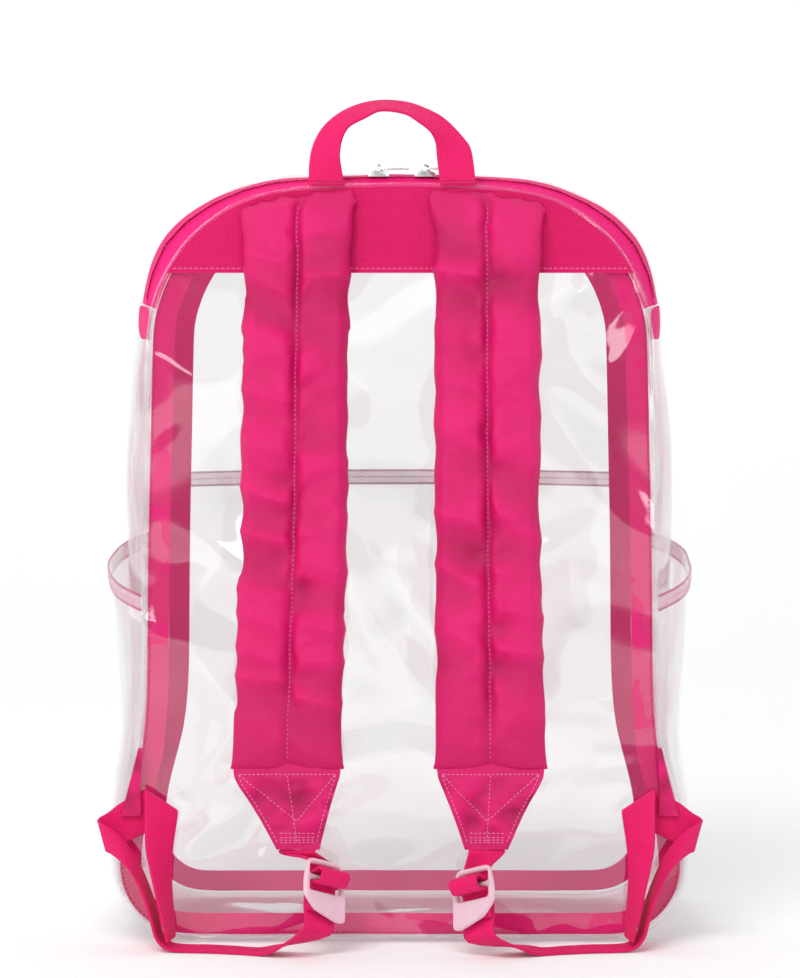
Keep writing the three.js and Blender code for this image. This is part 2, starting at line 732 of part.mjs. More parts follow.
// Around the lock's middle bar and down behind the plate: distance along the lock, and out from its plate.
const threadRows = [
  { along: -lockLength * 0.66, out: behindTail - 1.5 },
  { along: -lockLength * 0.3, out: behindTail - 0.5 },
  { along: 0, out: behindTail },
  { along: threadUp - 2.6, out: behindTail + 1 },
  { along: threadUp, out: behindPlate },
  { along: threadUp, out: 0 },
  { along: threadUp + 0.2, out: lockThickness },
  { along: threadUp + 1, out: lockThickness + 3.6 },
  { along: (threadUp + threadDown) / 2 + 1, out: lockThickness + 6.6 },
  { along: threadDown - 1, out: lockThickness + 3.6 },
  { along: threadDown - 0.2, out: lockThickness },
  { along: threadDown, out: 0 },
  { along: threadDown - 1.4, out: behindPlate + 0.2 },
  { along: -lockLength * 0.2, out: behindPlate },
  { along: -lockLength * 0.36, out: behindPlate },
];

for (const strap of straps) {
  const thread = threaded(strap, threadRows, webbingWidth);
  const rows = [...cornerRows, ...floorRows].map(({ out, depth, height }) => [0, 1].map((edge) => [
    strap.handed * out[edge] * lowerHalfWidth,
    depth[edge] * webbingWidth,
    height[edge] * cornerTabTop,
  ]));
  add(`webbing_${strap.name}`, ribbon(smoothRows([...rows, ...thread])), 'webbing');
}

// Corner tabs: triangles of folded fabric sewn into the back seam, holding the webbing.
// Shares of the tab's top and width.
const tabRows = [
  { height: 1, across: 0.17 },
  { height: 0.897, across: 0.4 },
  { height: 0.782, across: 0.61 },
  { height: 0.657, across: 1 },
];

for (const { name, handed } of straps) {
  const grid = (depth) => tabRows.map((row) => {
    const station = sideStation(row.height * cornerTabTop, handed);
    return [0, row.across].map((across) => (
      new THREE.Vector3(station.x + station.nx * sewnGap - handed * across * cornerTabWidth, -depth, station.z)
    ));
  });
  add(`corner_tab_${name}`, wall(grid(tabStand + fabric), grid(tabStand)), 'cloth');
}

// Grab handle: webbing sewn into the top seam, face on at its legs and turned edge on over the top.
// Each row holds the outer and the inner edge: shares of the handle's half width, the webbing's width and the rise.
const handleRows = [
  { x: [-1, -0.6047], depth: [-0.1, -0.1], rise: [0.0063, 0.0063] },
  { x: [-1, -0.6443], depth: [-0.11, -0.23], rise: [0.2521, 0.2227] },
  { x: [-0.9565, -0.6601], depth: [-0.08, -0.32], rise: [0.4832, 0.3908] },
  { x: [-0.8498, -0.6285], depth: [0.05, -0.4], rise: [0.6849, 0.5756] },
  { x: [-0.6719, -0.5534], depth: [0.25, -0.43], rise: [0.8487, 0.7059] },
  { x: [-0.4466, -0.3874], depth: [0.42, -0.45], rise: [0.958, 0.8025] },
  { x: [-0.2095, -0.2095], depth: [0.48, -0.47], rise: [1, 0.8866] },
  { x: [0.0553, 0.0514], depth: [0.47, -0.45], rise: [0.9832, 0.8529] },
  { x: [0.2688, 0.2095], depth: [0.42, -0.43], rise: [0.9118, 0.7521] },
  { x: [0.4901, 0.336], depth: [0.32, -0.4], rise: [0.7857, 0.6429] },
  { x: [0.7115, 0.3913], depth: [0.13, -0.32], rise: [0.5462, 0.5168] },
  { x: [0.7905, 0.4071], depth: [-0.03, -0.22], rise: [0.3908, 0.3361] },
  { x: [0.8379, 0.4427], depth: [-0.1, -0.1], rise: [0.0063, 0.0063] },
];
const handleEdges = handleRows.map(({ x, depth, rise }) => [0, 1].map((edge) => [
  x[edge] * handleHalfWidth,
  depth[edge] * webbingWidth,
  bodyHeight + rise[edge] * handleRise,
]));
add('grab_handle', ribbon(smoothRows(handleEdges)), 'webbing');

// Side pockets: clear sheets sewn into both seams of the gusset, open along a slanted hem.
function pocketHem(depth) {
  return lerp(sidePocketHemAtBack, sidePocketHemAtFront, depth);
}

function pocketStand(depth, rise) {
  const open = Math.pow(Math.max(Math.sin(Math.PI * depth), 0), 0.6);
  return sewnGap + sidePocketStand * open * Math.pow(rise, 0.7);
}

const pocketFoot = lowerCentre.z * 0.35;

const pocketStations = sideStations.filter((p) => p.z > pocketFoot && p.z < sidePocketHemAtBack - hemWidth * 2);

// Rows follow the gusset's own stations up to below the hem, then slant with it.
function pocketGrid(handed, lift, fromHem = false) {
  const heights = fromHem ? [] : pocketStations.map((p) => () => p.z);
  heights.push(...[hemWidth, 0].map((below) => (depth) => pocketHem(depth) - below));
  return heights.map((heightAt) => range(0, 1, 8).map((depth) => {
    const height = heightAt(depth);
    const rise = (height - pocketStations[0].z) / (pocketHem(depth) - pocketStations[0].z);
    return skin(sideStation(height, handed), depth, -pocketStand(depth, rise) - lift);
  }));
}

for (const { name, handed } of straps) {
  add(`side_pocket_${name}`, wall(pocketGrid(handed, vinyl), pocketGrid(handed, 0)), 'clear');
  const under = vinyl + sewnGap;
  const hem = wall(pocketGrid(handed, under + hemThickness, true), pocketGrid(handed, under, true));
  add(`side_pocket_hem_${name}`, hem, 'clear');
}

// Front pocket: a clear sheet over the lower part of the front panel, open along a hem.
const frontEdge = frontOutline.slice(bottomRun.length + 1, zipEndIndex).filter((p) => p.z < frontPocketHeight - 6);
const frontTopX = frontHalfWidth(frontPocketHeight);

function frontHalfWidth(height) {
  return sideStation(height / (1 - frontDrop), 1).x * (1 - frontTaper);
}

function frontPocketGrid(rows, lift) {
  return rows.map((p) => range(-1, 1, 8).map((share) => {
    const x = share * p.x;
    const rise = p.z / frontPocketHeight;
    const open = Math.pow(Math.max(1 - Math.pow(Math.abs(share), 3), 0), 0.8);
    const stand = sewnGap + frontPocketStand * open * Math.pow(rise, 0.5) * Math.min(1, p.z / 40);
    return new THREE.Vector3(x, frontFace(x, p.z) + stand + lift, p.z);
  }));
}

const pocketRows = [...frontEdge, { x: frontTopX, z: frontPocketHeight }];
add('front_pocket', wall(frontPocketGrid(pocketRows, vinyl), frontPocketGrid(pocketRows, 0)), 'clear');
const hemRows = [frontPocketHeight - hemWidth, frontPocketHeight].map((z) => ({ x: frontHalfWidth(z) - 0.5, z }));
const hemLift = vinyl + sewnGap;
const frontHem = wall(frontPocketGrid(hemRows, hemLift + hemThickness), frontPocketGrid(hemRows, hemLift));
add('front_pocket_hem', frontHem, 'clear');

// Zip sliders: a body on the coil with a bridge, and a pull whose bar turns in the bridge's eye.
function solidOf(geometry) {
  const plain = new THREE.BufferGeometry();
  plain.setAttribute('position', geometry.getAttribute('position').clone());
  if (geometry.index) plain.setIndex(geometry.index.clone());
  const merged = mergeVertices(plain, 1e-4);
  return new wasm.Manifold(new wasm.Mesh({
    numProp: 3,
    vertProperties: new Float32Array(merged.getAttribute('position').array),
    triVerts: new Uint32Array(merged.index.array),
  }));
}

function geometryOf(solid) {
  const mesh = solid.getMesh();
  const geometry = new THREE.BufferGeometry();
  geometry.setAttribute('position', new THREE.BufferAttribute(new Float32Array(mesh.vertProperties), 3));
  geometry.setIndex([...mesh.triVerts]);
  return geometry;
}

// Lies in the XZ plane about the pull's axis, centred on Y.
function flatAcross(shape, width) {
  const geometry = new THREE.ExtrudeGeometry(shape, { depth: width, bevelEnabled: false, curveSegments: 3 });
  return geometry.rotateX(Math.PI / 2).translate(0, width / 2, 0);
}

const axisRise = bridgeEye / 2 + sliderHeight;

function sliderGeometry() {
  const half = sliderLength / 2;
  const base = new THREE.Shape([
    new THREE.Vector2(-half, 0),
    new THREE.Vector2(half, 0),
    new THREE.Vector2(half - 0.5, sliderHeight * 0.7),
    new THREE.Vector2(half - 3, sliderHeight),
    new THREE.Vector2(-half + 3, sliderHeight),
    new THREE.Vector2(-half + 0.5, sliderHeight * 0.7),
  ]);
  const eye = bridgeEye / 2;
  const outer = eye + bridgeWall;
  const bridge = new THREE.Shape();
  bridge.moveTo(-outer, sliderHeight - 0.4);
  bridge.lineTo(outer, sliderHeight - 0.4);
  bridge.lineTo(outer, axisRise);
  bridge.absarc(0, axisRise, outer, 0, Math.PI, false);
  bridge.closePath();
  const hole = new THREE.Path();
  hole.moveTo(eye, axisRise);
  hole.absarc(0, axisRise, eye, 0, Math.PI, false);
  hole.lineTo(-eye, sliderHeight + 0.001);
  hole.lineTo(eye, sliderHeight + 0.001);
  hole.closePath();
  bridge.holes.push(hole);
  return geometryOf(solidOf(flatAcross(base, sliderWidth)).add(solidOf(flatAcross(bridge, bridgeWidth))));
}

// The pull lies along +X from its bar, which sits on the axis.
function pullGeometry() {
  const half = pullWidth / 2;
  const eye = bridgeEye / 2 + bridgeWall + 0.5;
  const plate = new THREE.Shape();
  plate.moveTo(-pullBar / 2, -half);
  plate.lineTo(pullLength - 2, -half);
  plate.lineTo(pullLength, -half + 2);
  plate.lineTo(pullLength, half - 2);
  plate.lineTo(pullLength - 2, half);
  plate.lineTo(-pullBar / 2, half);
  plate.closePath();
  const window = new THREE.Path();
  const inner = half - pullArm;
  window.moveTo(pullBar / 2, -inner);
  window.lineTo(eye, -inner);
  window.lineTo(eye, inner);
  window.lineTo(pullBar / 2, inner);
  window.closePath();
  plate.holes.push(window);
  const geometry = new THREE.ExtrudeGeometry(plate, { depth: pullThickness, bevelEnabled: false });
  return geometry.translate(0, 0, -pullThickness / 2);
}

const coilMiddle = coilStart + coilShare / 2;
const coilTop = skin({ x: 0, z: bodyHeight, nx: 0, nz: 1 }, coilMiddle, -0.6);
for (const [name, x] of Object.entries(sliderSpots)) {
  const seat = new THREE.Group();
  seat.position.set(x, coilTop.y, coilTop.z + 2 * sewnGap);
  bag.add(seat);
  add(`zip_slider_${name}`, sliderGeometry(), 'metal', seat);
  const pull = add(`zip_pull_${name}`, pullGeometry(), 'metal', seat);
  pull.position.set(0, 0, axisRise);
}

// The origin is the middle of the footprint, on the floor.
const extent = new THREE.Box3().setFromObject(bag);
const middle = extent.getCenter(new THREE.Vector3());
bag.position.set(-middle.x, -middle.y, -extent.min.z);

export default bag;
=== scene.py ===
import math

import bmesh
import bpy
import numpy as np
from mathutils import Matrix, Vector, noise


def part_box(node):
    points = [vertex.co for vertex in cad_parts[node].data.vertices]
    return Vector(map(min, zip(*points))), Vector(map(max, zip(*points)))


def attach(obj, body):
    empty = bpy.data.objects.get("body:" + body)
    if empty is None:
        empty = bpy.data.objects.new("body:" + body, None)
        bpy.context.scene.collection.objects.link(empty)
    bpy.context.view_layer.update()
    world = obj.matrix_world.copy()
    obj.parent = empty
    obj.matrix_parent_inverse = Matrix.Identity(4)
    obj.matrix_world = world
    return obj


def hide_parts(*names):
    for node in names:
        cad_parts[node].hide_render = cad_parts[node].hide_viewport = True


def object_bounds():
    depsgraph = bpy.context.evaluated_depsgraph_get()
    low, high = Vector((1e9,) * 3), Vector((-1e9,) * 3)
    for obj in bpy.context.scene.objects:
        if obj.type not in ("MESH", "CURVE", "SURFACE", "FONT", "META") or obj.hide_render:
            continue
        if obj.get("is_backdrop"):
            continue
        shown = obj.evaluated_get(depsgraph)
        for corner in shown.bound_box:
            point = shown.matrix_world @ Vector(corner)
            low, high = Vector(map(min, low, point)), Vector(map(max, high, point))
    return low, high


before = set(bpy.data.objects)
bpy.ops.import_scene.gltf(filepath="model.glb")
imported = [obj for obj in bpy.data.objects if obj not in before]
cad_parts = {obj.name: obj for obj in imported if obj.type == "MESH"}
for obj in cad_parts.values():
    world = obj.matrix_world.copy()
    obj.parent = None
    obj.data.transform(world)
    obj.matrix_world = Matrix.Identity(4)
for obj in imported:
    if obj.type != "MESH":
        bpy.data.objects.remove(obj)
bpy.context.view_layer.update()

# Camera and studio. The bag is seen from its strap side, from 2.5 m, a little above level.
# It stands on a plain white floor that curves up behind it and can be seen through from its back. Three soft
# boxes stand in front and one lights the wall; a large pale card at each side is mirrored in the film.
back_plane = -0.0527
camera_data = bpy.data.cameras.new("camera")
camera_data.lens = 164.3
camera_data.sensor_width = 36
camera_data.clip_end = 50
camera = bpy.data.objects.new("camera", camera_data)
bpy.context.collection.objects.link(camera)
camera_tilt = math.radians(4.5)
camera.location = (0, back_plane - 2.5 * math.cos(camera_tilt), 0.257 + 2.5 * math.sin(camera_tilt))
camera.rotation_euler = (math.pi / 2 - camera_tilt, 0, 0)
bpy.context.scene.camera = camera
bpy.context.scene.view_settings.view_transform = "Standard"


def softbox(name, place, aim, size, power):
    light = bpy.data.lights.new(name, "AREA")
    light.shape = "RECTANGLE"
    light.size, light.size_y = size
    light.energy = power
    lamp = bpy.data.objects.new(name, light)
    bpy.context.collection.objects.link(lamp)
    lamp.location = place
    lamp.rotation_euler = (Vector(aim) - Vector(place)).to_track_quat("-Z", "Y").to_euler()


softbox("softbox_key", (-0.5, -1.6, 2.1), (0, 0, 0.25), (1.6, 0.9), 35)
softbox("softbox_left", (-0.85, -2.2, 0.9), (0, 0, 0.25), (0.7, 1.3), 11)
softbox("softbox_right", (0.8, -2.3, 0.7), (0, 0, 0.22), (0.4, 1.2), 6)
softbox("softbox_behind", (0, 0.9, 2.6), (0, 2.5, 0.4), (3.6, 1.2), 26)
softbox("card_left", (-2.2, 0.2, 0.9), (0, 0.2, 0.3), (2.6, 2.0), 18)
softbox("card_right", (2.2, 0.2, 0.9), (0, 0.2, 0.3), (2.6, 2.0), 18)

world = bpy.data.worlds.new("studio")
bpy.context.scene.world = world
world.use_nodes = True
world.node_tree.nodes["Background"].inputs["Color"].default_value = (1, 1, 1, 1)
world.node_tree.nodes["Background"].inputs["Strength"].default_value = 0.3
bpy.context.scene.cycles.transparent_max_bounces = 32
bpy.context.scene.cycles.max_bounces = 16


def lone(piece):
    bpy.ops.object.select_all(action="DESELECT")
    piece.select_set(True)
    bpy.context.view_layer.objects.active = piece


def apply_all(piece):
    lone(piece)
    for modifier in list(piece.modifiers):
        bpy.ops.object.modifier_apply(modifier=modifier.name)


class Dye:
    """A socket in a material. Sums written on dyes add Math nodes to its tree."""

    def __init__(self, tree, socket=None):
        self.tree = tree
        self.socket = socket

    def node(self, kind, settings=(), inlets=(), outlet=0):
        """Adds a node: its settings first, then its sockets' values or dyes."""
        new = self.tree.nodes.new("ShaderNode" + kind)
        for key, value in dict(settings).items():
            setattr(new, key, value)
        for key, value in dict(inlets).items():
            if isinstance(value, Dye):
                self.tree.links.new(value.socket, new.inputs[key])
            else:
                new.inputs[key].default_value = value
        return Dye(self.tree, new.outputs[outlet])

    def sum(self, operation, *values):
        return self.node("Math", {"operation": operation}, dict(enumerate(values)))

    def mix(self, factor, first, second):
        """Blends two colours."""
        return self.node("Mix", {"data_type": "RGBA"}, {"Factor": factor, "A": first, "B": second}, 2)

    def __add__(self, other):
        return self.sum("ADD", self, other)

    def __radd__(self, other):
        return self.sum("ADD", other, self)

    def __sub__(self, other):
        return self.sum("SUBTRACT", self, other)

    def __rsub__(self, other):
        return self.sum("SUBTRACT", other, self)

    def __mul__(self, other):
        return self.sum("MULTIPLY", self, other)

    def __rmul__(self, other):
        return self.sum("MULTIPLY", other, self)

    def __truediv__(self, other):
        return self.sum("DIVIDE", self, other)

    def __rtruediv__(self, other):
        return self.sum("DIVIDE", other, self)

    def __pow__(self, other):
        return self.sum("POWER", self, other)

    def __rpow__(self, other):
        return self.sum("POWER", other, self)


def finish(name):
    material = bpy.data.materials.new(name)
    material.use_nodes = True
    material.node_tree.nodes.clear()
    return material, Dye(material.node_tree)


def out(dye, shader):
    output = dye.tree.nodes.new("ShaderNodeOutputMaterial")
    dye.tree.links.new(shader.socket, output.inputs["Surface"])


def linear(red, green, blue):
    """Scene colour of an sRGB colour in 0 to 255."""
    return (*(((c / 255 + 0.055) / 1.055) ** 2.4 if c > 10 else c / 3294.6 for c in (red, green, blue)), 1)


bpy.ops.object.select_all(action="DESELECT")
bpy.ops.mesh.primitive_plane_add(size=8, location=(0, -1.5, 0))
floor = bpy.context.object
floor.name = "studio_floor"
bpy.ops.object.mode_set(mode="EDIT")
bpy.ops.mesh.select_all(action="DESELECT")
sweep = bmesh.from_edit_mesh(floor.data)
far_edge = max(sweep.edges, key=lambda edge: sum(vert.co.y for vert in edge.verts))
far_edge.select_set(True)
bmesh.update_edit_mesh(floor.data)
bpy.ops.mesh.extrude_region_move(TRANSFORM_OT_translate={"value": (0, 0, 4)})
bpy.ops.object.mode_set(mode="OBJECT")
lone(floor)
bpy.ops.object.transform_apply(location=True, rotation=True, scale=True)
curve = floor.modifiers.new("curve", "BEVEL")
curve.width = 1.2
curve.segments = 16
apply_all(floor)
bpy.ops.object.shade_smooth()
paint, dye = finish("studio_paint")
speckle = dye.node("TexNoise", (), {"Vector": dye.node("TexCoord", outlet=3), "Scale": 4, "Detail": 2})
white = dye.mix(speckle, (0.9, 0.9, 0.9, 1), (0.92, 0.92, 0.925, 1))
matt = dye.node("BsdfPrincipled", (), {"Base Color": white, "Roughness": 0.9})
behind = dye.node("NewGeometry", outlet=6)
out(dye, dye.node("MixShader", (), {0: behind, 1: matt, 2: dye.node("BsdfTransparent")}))
floor.data.materials.append(paint)
floor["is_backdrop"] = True

# Back panel. One sheet of heavy clear vinyl, 1 mm thick, cut to the back outline and sewn into the back seam.
# It swells a little towards the wearer and has soft waves from how it was folded and packed.
film, dye = finish("clear_vinyl_film")
place = dye.node("TexCoord", outlet=3)
ripple = dye.node("TexNoise", (), {
    "Vector": place, "Scale": 9, "Detail": 1.2, "Roughness": 0.45, "Distortion": 0.8})
wave_normal = dye.node("Bump", (), {"Strength": 1, "Distance": 0.012, "Height": ripple})
mirror = dye.node("Fresnel", (), {"IOR": 1.52, "Normal": wave_normal})
scuff = dye.node("TexNoise", (), {"Vector": place, "Scale": 60, "Detail": 4, "Roughness": 0.65})
cover = dye.sum("MINIMUM", 0.36, 0.006 + 0.012 * scuff + mirror)
clear = dye.node("BsdfTransparent", (), {"Color": (0.984, 0.979, 0.981, 1)})
gloss = dye.node("BsdfPrincipled", (), {
    "Base Color": (0.97, 0.965, 0.97, 1), "Metallic": 1,
    "Roughness": 0.02 + 0.03 * scuff, "Normal": wave_normal})
out(dye, dye.node("MixShader", (), {0: cover, 1: clear, 2: gloss}))


def points(piece):
    places = np.empty(len(piece.data.vertices) * 3)
    piece.data.vertices.foreach_get("co", places)
    return places.reshape(-1, 3)


def normals(piece):
    ways = np.empty(len(piece.data.vertices) * 3)
    piece.data.vertices.foreach_get("normal", ways)
    return ways.reshape(-1, 3)


def set_points(piece, places):
    piece.data.vertices.foreach_set("co", places.ravel())
    piece.data.update()


def waves(places, size, seed):
    """Smooth noise from -1 to 1 for each point, with waves of about that size."""
    shift = Vector((seed * 3.7, seed * 1.3, seed * 7.1))
    return np.array([noise.noise(Vector(place) / size + shift) for place in places])


def sew_in(piece, material, slot, *nodes, body="bag", angle=40):
    """Gives a finished piece its material and smooth shading, hangs it on its body and hides the CAD nodes it
    stands for. The slot is not used.
    """
    lone(piece)
    piece.data.materials.clear()
    piece.data.materials.append(material)
    bpy.ops.object.shade_smooth_by_angle(angle=math.radians(angle))
    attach(piece, body)
    if nodes:
        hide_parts(*nodes)


def half_width(node, height):
    """Half width of a CAD sheet at a height, felt with rays through it."""
    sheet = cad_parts[node]
    near, far = 0.0, 0.2
    for _ in range(14):
        middle = (near + far) / 2
        hit = sheet.ray_cast(Vector((middle, -1, height)), Vector((0, 1, 0)))[0]
        near, far = (middle, far) if hit else (near, middle)
    return near


columns, rows = 64, 96


def film_panel(node, name, side):
    """A sheet over a CAD panel: a grid laid out in rows, set on the panel and eased smooth."""
    low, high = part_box(node)
    bottom, top = low[2] + 0.0002, high[2] - 0.0021
    bpy.ops.object.select_all(action="DESELECT")
    bpy.ops.mesh.primitive_grid_add(
        x_subdivisions=columns, y_subdivisions=rows, size=2, rotation=(math.pi / 2, 0, 0))
    piece = bpy.context.object
    piece.name = name
    bpy.ops.object.transform_apply(location=True, rotation=True, scale=True)
    flat = points(piece)
    levels = sorted(set(np.round(flat[:, 2], 5)))
    halves = {level: half_width(node, bottom + (level + 1) / 2 * (top - bottom)) for level in levels}
    places = np.empty_like(flat)
    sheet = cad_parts[node]
    for k, (across, _, up) in enumerate(flat):
        height = bottom + (up + 1) / 2 * (top - bottom)
        crown = 0.002 * max(0, (up - 0.9) / 0.1) * (1 - across * across)
        x = across * halves[round(up, 5)]
        places[k] = (x, 0, height + crown)
        for inset in (1, 0.995, 0.985, 0.97):
            start = Vector((x * inset, side, 0.2 + (height - 0.2) * inset))
            hit, felt, _, _ = sheet.ray_cast(start, Vector((0, -side, 0)))
            if hit:
                places[k][1] = felt[1]
                break
    shape = bmesh.new()
    shape.from_mesh(piece.data)
    near = [[edge.other_vert(vert).index for edge in vert.link_edges] for vert in shape.verts]
    rim = [vert.is_boundary for vert in shape.verts]
    shape.free()
    for _ in range(24):
        depth = places[:, 1].copy()
        for k, others in enumerate(near):
            if not rim[k]:
                places[k, 1] = 0.4 * depth[k] + 0.6 * depth[others].mean()
    set_points(piece, places)
    return piece


def make_film(piece, node, way, seed):
    """Soft waves that die away at the seams, and the film's thickness."""
    low, high = (np.array(corner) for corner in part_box(node))
    places = points(piece)
    reach = np.abs(places - (low + high) / 2) / ((high - low) / 2 + 1e-9)
    hold = np.sin(math.pi / 2 * np.clip((1 - reach[:, (0, 2)]) * 4, 0, 1)).prod(axis=1) ** 2
    lift = 0.0024 * waves(places, 0.11, seed) + 0.0011 * waves(places, 0.05, seed + 1)
    places[:, 1] += way * lift * hold
    set_points(piece, places)
    wall = piece.modifiers.new("wall", "SOLIDIFY")
    wall.thickness = 0.001
    wall.offset = way
    apply_all(piece)
    sew_in(piece, film, "clear_vinyl", node)


def rim_points(piece):
    """The grid's border points, once round."""
    places = points(piece)
    at = [[places[r * (columns + 1) + c] for c in range(columns + 1)] for r in range(rows + 1)]
    up = [at[r][0] for r in range(rows)]
    over = [at[rows][c] for c in range(columns)]
    down = [at[r][columns] for r in range(rows, 0, -1)]
    back = [at[0][c] for c in range(columns, 0, -1)]
    return np.array(up + over + down + back)


back_film = film_panel("back_panel", "back_film", -1)
back_rim = rim_points(back_film)
make_film(back_film, "back_panel", -1, 1)


# Gusset. One strip of clear film runs round the bottom and up to the zip's ends, another lies in front of the
# zip. Both are sewn into the back and front seams; they bulge past them, with folds where the bag bends.
def take(node, name):
    """A copy of a CAD node's mesh, with its loose triangles merged and paired again."""
    piece = bpy.data.objects.new(name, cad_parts[node].data.copy())
    bpy.context.collection.objects.link(piece)
    piece.data.transform(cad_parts[node].matrix_world)
    piece.data.materials.clear()
    shape = bmesh.new()
    shape.from_mesh(piece.data)
    bmesh.ops.remove_doubles(shape, verts=shape.verts, dist=1e-6)
    bmesh.ops.join_triangles(
        shape, faces=shape.faces, angle_face_threshold=1.2, angle_shape_threshold=math.pi)
    shape.to_mesh(piece.data)
    shape.free()
    return piece


def soften(piece, levels, corner=50):
    """Subdivides smoothly, and keeps the edges of the material crisp."""
    shape = bmesh.new()
    shape.from_mesh(piece.data)
    crease = shape.edges.layers.float.get("crease_edge") or shape.edges.layers.float.new("crease_edge")
    for edge in shape.edges:
        if len(edge.link_faces) == 2 and edge.calc_face_angle(0) > math.radians(corner):
            edge[crease] = 1
    shape.to_mesh(piece.data)
    shape.free()
    smooth = piece.modifiers.new("smooth", "SUBSURF")
    smooth.levels = smooth.render_levels = levels
    apply_all(piece)


for node, name, seed in (("lower_gusset", "gusset_film", 3), ("top_gusset", "top_film", 5)):
    strip = take(node, name)
    soften(strip, 3)
    places = points(strip)
    core = np.stack([np.clip(places[:, 0], -0.06, 0.06), places[:, 1], np.clip(places[:, 2], 0.06, 0.34)], 1)
    outward = places - core
    outward /= np.linalg.norm(outward, axis=1)[:, None] + 1e-9
    low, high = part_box(node)
    across = np.clip((places[:, 1] - low[1]) / (high[1] - low[1]), 0, 1)
    hold = np.sin(math.pi * across) ** 0.7 * np.clip((places[:, 2] - 0.004) / 0.02, 0, 1)
    lift = 0.0026 * waves(places, 0.06, seed) + 0.0022 * waves(places * (1, 1, 0.3), 0.02, seed + 1)
    set_points(strip, places + outward * (lift * hold)[:, None])
    sew_in(strip, film, "clear_vinyl", node)

# Front panel. The same film; it swells outwards and is sewn into the front seam.
front_film = film_panel("front_panel", "front_film", 1)
front_rim = rim_points(front_film)
make_film(front_film, "front_panel", 1, 8)


# Seam allowances. Past each seam's stitches the cut edges of the film stand out as a thin clear welt.
def lay_strip(name, rows, thickness, columns=6, closed=False, width=0.02):
    """A strip along rows of edge points, with its width and length in metres in its UV map."""
    if closed:
        rows = rows + rows[:1]
    bpy.ops.object.select_all(action="DESELECT")
    bpy.ops.mesh.primitive_grid_add(x_subdivisions=columns, y_subdivisions=len(rows) - 1, size=2)
    strip = bpy.context.object
    strip.name = name
    middles = [(a + b) / 2 for a, b in rows]
    lengths = [0.0]
    for a, b in zip(middles, middles[1:]):
        lengths.append(lengths[-1] + (b - a).length)
    flat = points(strip)
    placed, laid = np.empty_like(flat), []
    for k, (x, y, _) in enumerate(flat):
        row = round((y + 1) / 2 * (len(rows) - 1))
        placed[k] = rows[row][0].lerp(rows[row][1], (x + 1) / 2)
        laid.append(((x + 1) / 2 * width, lengths[row]))
    set_points(strip, placed)
    for loop in strip.data.loops:
        strip.data.uv_layers[0].data[loop.index].uv = laid[loop.vertex_index]
    if closed:
        join = strip.modifiers.new("join", "WELD")
        join.merge_threshold = 1e-6
    wall = strip.modifiers.new("wall", "SOLIDIFY")
    wall.thickness = thickness
    wall.offset = 0
    edge = strip.modifiers.new("edge", "BEVEL")
    edge.width = thickness / 4
    edge.segments = 2
    edge.angle_limit = math.radians(60)
    apply_all(strip)
    return strip


def around(rim, pitch):
    """Points at equal steps round a rim, each with its outward direction in the panel's plane."""
    closed = np.vstack([rim, rim[:1]])
    spans = np.linalg.norm(np.diff(closed, axis=0), axis=1)
    walked = np.concatenate([[0], np.cumsum(spans)])
    steps = np.linspace(0, walked[-1], round(walked[-1] / pitch), endpoint=False)
    line = np.stack([np.interp(steps, walked, closed[:, axis]) for axis in range(3)], 1)
    for _ in range(4):
        line = (np.roll(line, 1, 0) + 2 * line + np.roll(line, -1, 0)) / 4
    run = np.roll(line, -1, 0) - np.roll(line, 1, 0)
    outward = np.stack([-run[:, 2], np.zeros(len(run)), run[:, 0]], 1)
    outward /= np.linalg.norm(outward, axis=1)[:, None]
    return line, outward


for rim, name, depth in ((back_rim, "back_seam_welt", 0.0002), (front_rim, "front_seam_welt", -0.0002)):
    line, outward = around(rim, 0.004)
    frill = 0.00025 * waves(line, 0.02, 17)[:, None]
    inner = line - 0.0008 * outward + (0, depth, 0)
    outer = line + (0.0022 + frill) * outward + (0, depth, 0)
    outer[:, 2] = np.maximum(outer[:, 2], 0.0006)
    welt = lay_strip(name, [(Vector(a), Vector(b)) for a, b in zip(inner, outer)], 0.0012, 2, True)
    sew_in(welt, film, "clear_vinyl")


# Bindings. Pink tape, 12 mm wide, sewn over the raw edges inside the back seam and the front seam.
# It shows through the film, with a line of thread along each seam.
def cloth_finish(name, face, shade, thread, crease, roughness, fold_shading=False):
    """Plain woven nylon: fine threads both ways, small creases and uneven dye, with painted shade darkening
    the marked folds.
    """
    material, dye = finish(name)
    place = dye.node("TexCoord", outlet=3)
    blotch = dye.node("TexNoise", (), {"Vector": place, "Scale": 34, "Detail": 3})
    turns = 2 * math.pi / thread
    warp = dye.sum("SINE", dye.node("SeparateXYZ", (), {0: place}, 0) * turns)
    weft = dye.sum("SINE", dye.node("SeparateXYZ", (), {0: place}, 2) * turns)
    rumple = dye.node("TexNoise", (), {"Vector": place, "Scale": 120, "Detail": 2})
    colour = dye.mix(blotch, linear(*face), linear(*shade))
    if fold_shading:
        # Painted shade: where a point is marked as lying in a fold, its colour is darkened towards a deep,
        # shaded pink.
        shade_amount = dye.node("Attribute", {"attribute_name": "painted_shade"}, (), 2)
        colour = dye.mix(shade_amount, colour, linear(150, 4, 66))
    fine = dye.node("Bump", (), {"Strength": 0.5, "Distance": 0.0001, "Height": weft * warp})
    bumped = dye.node("Bump", (), {"Strength": 1, "Distance": crease, "Height": rumple, "Normal": fine})
    out(dye, dye.node("BsdfPrincipled", (), {
        "Base Color": colour, "Roughness": roughness + 0.12 * blotch, "Normal": bumped,
        "Specular IOR Level": 0.3}))
    return material


def thread_finish(name, colour):
    """Twisted polyester thread."""
    material, dye = finish(name)
    twist = dye.node("TexNoise", (), {"Vector": dye.node("TexCoord", outlet=3), "Scale": 2500, "Detail": 1})
    dyed = dye.mix(twist, linear(*colour), linear(*(c * 0.8 for c in colour)))
    bumped = dye.node("Bump", (), {"Strength": 0.5, "Distance": 0.0001, "Height": twist})
    out(dye, dye.node("BsdfPrincipled", (), {"Base Color": dyed, "Roughness": 0.5, "Normal": bumped}))
    return material


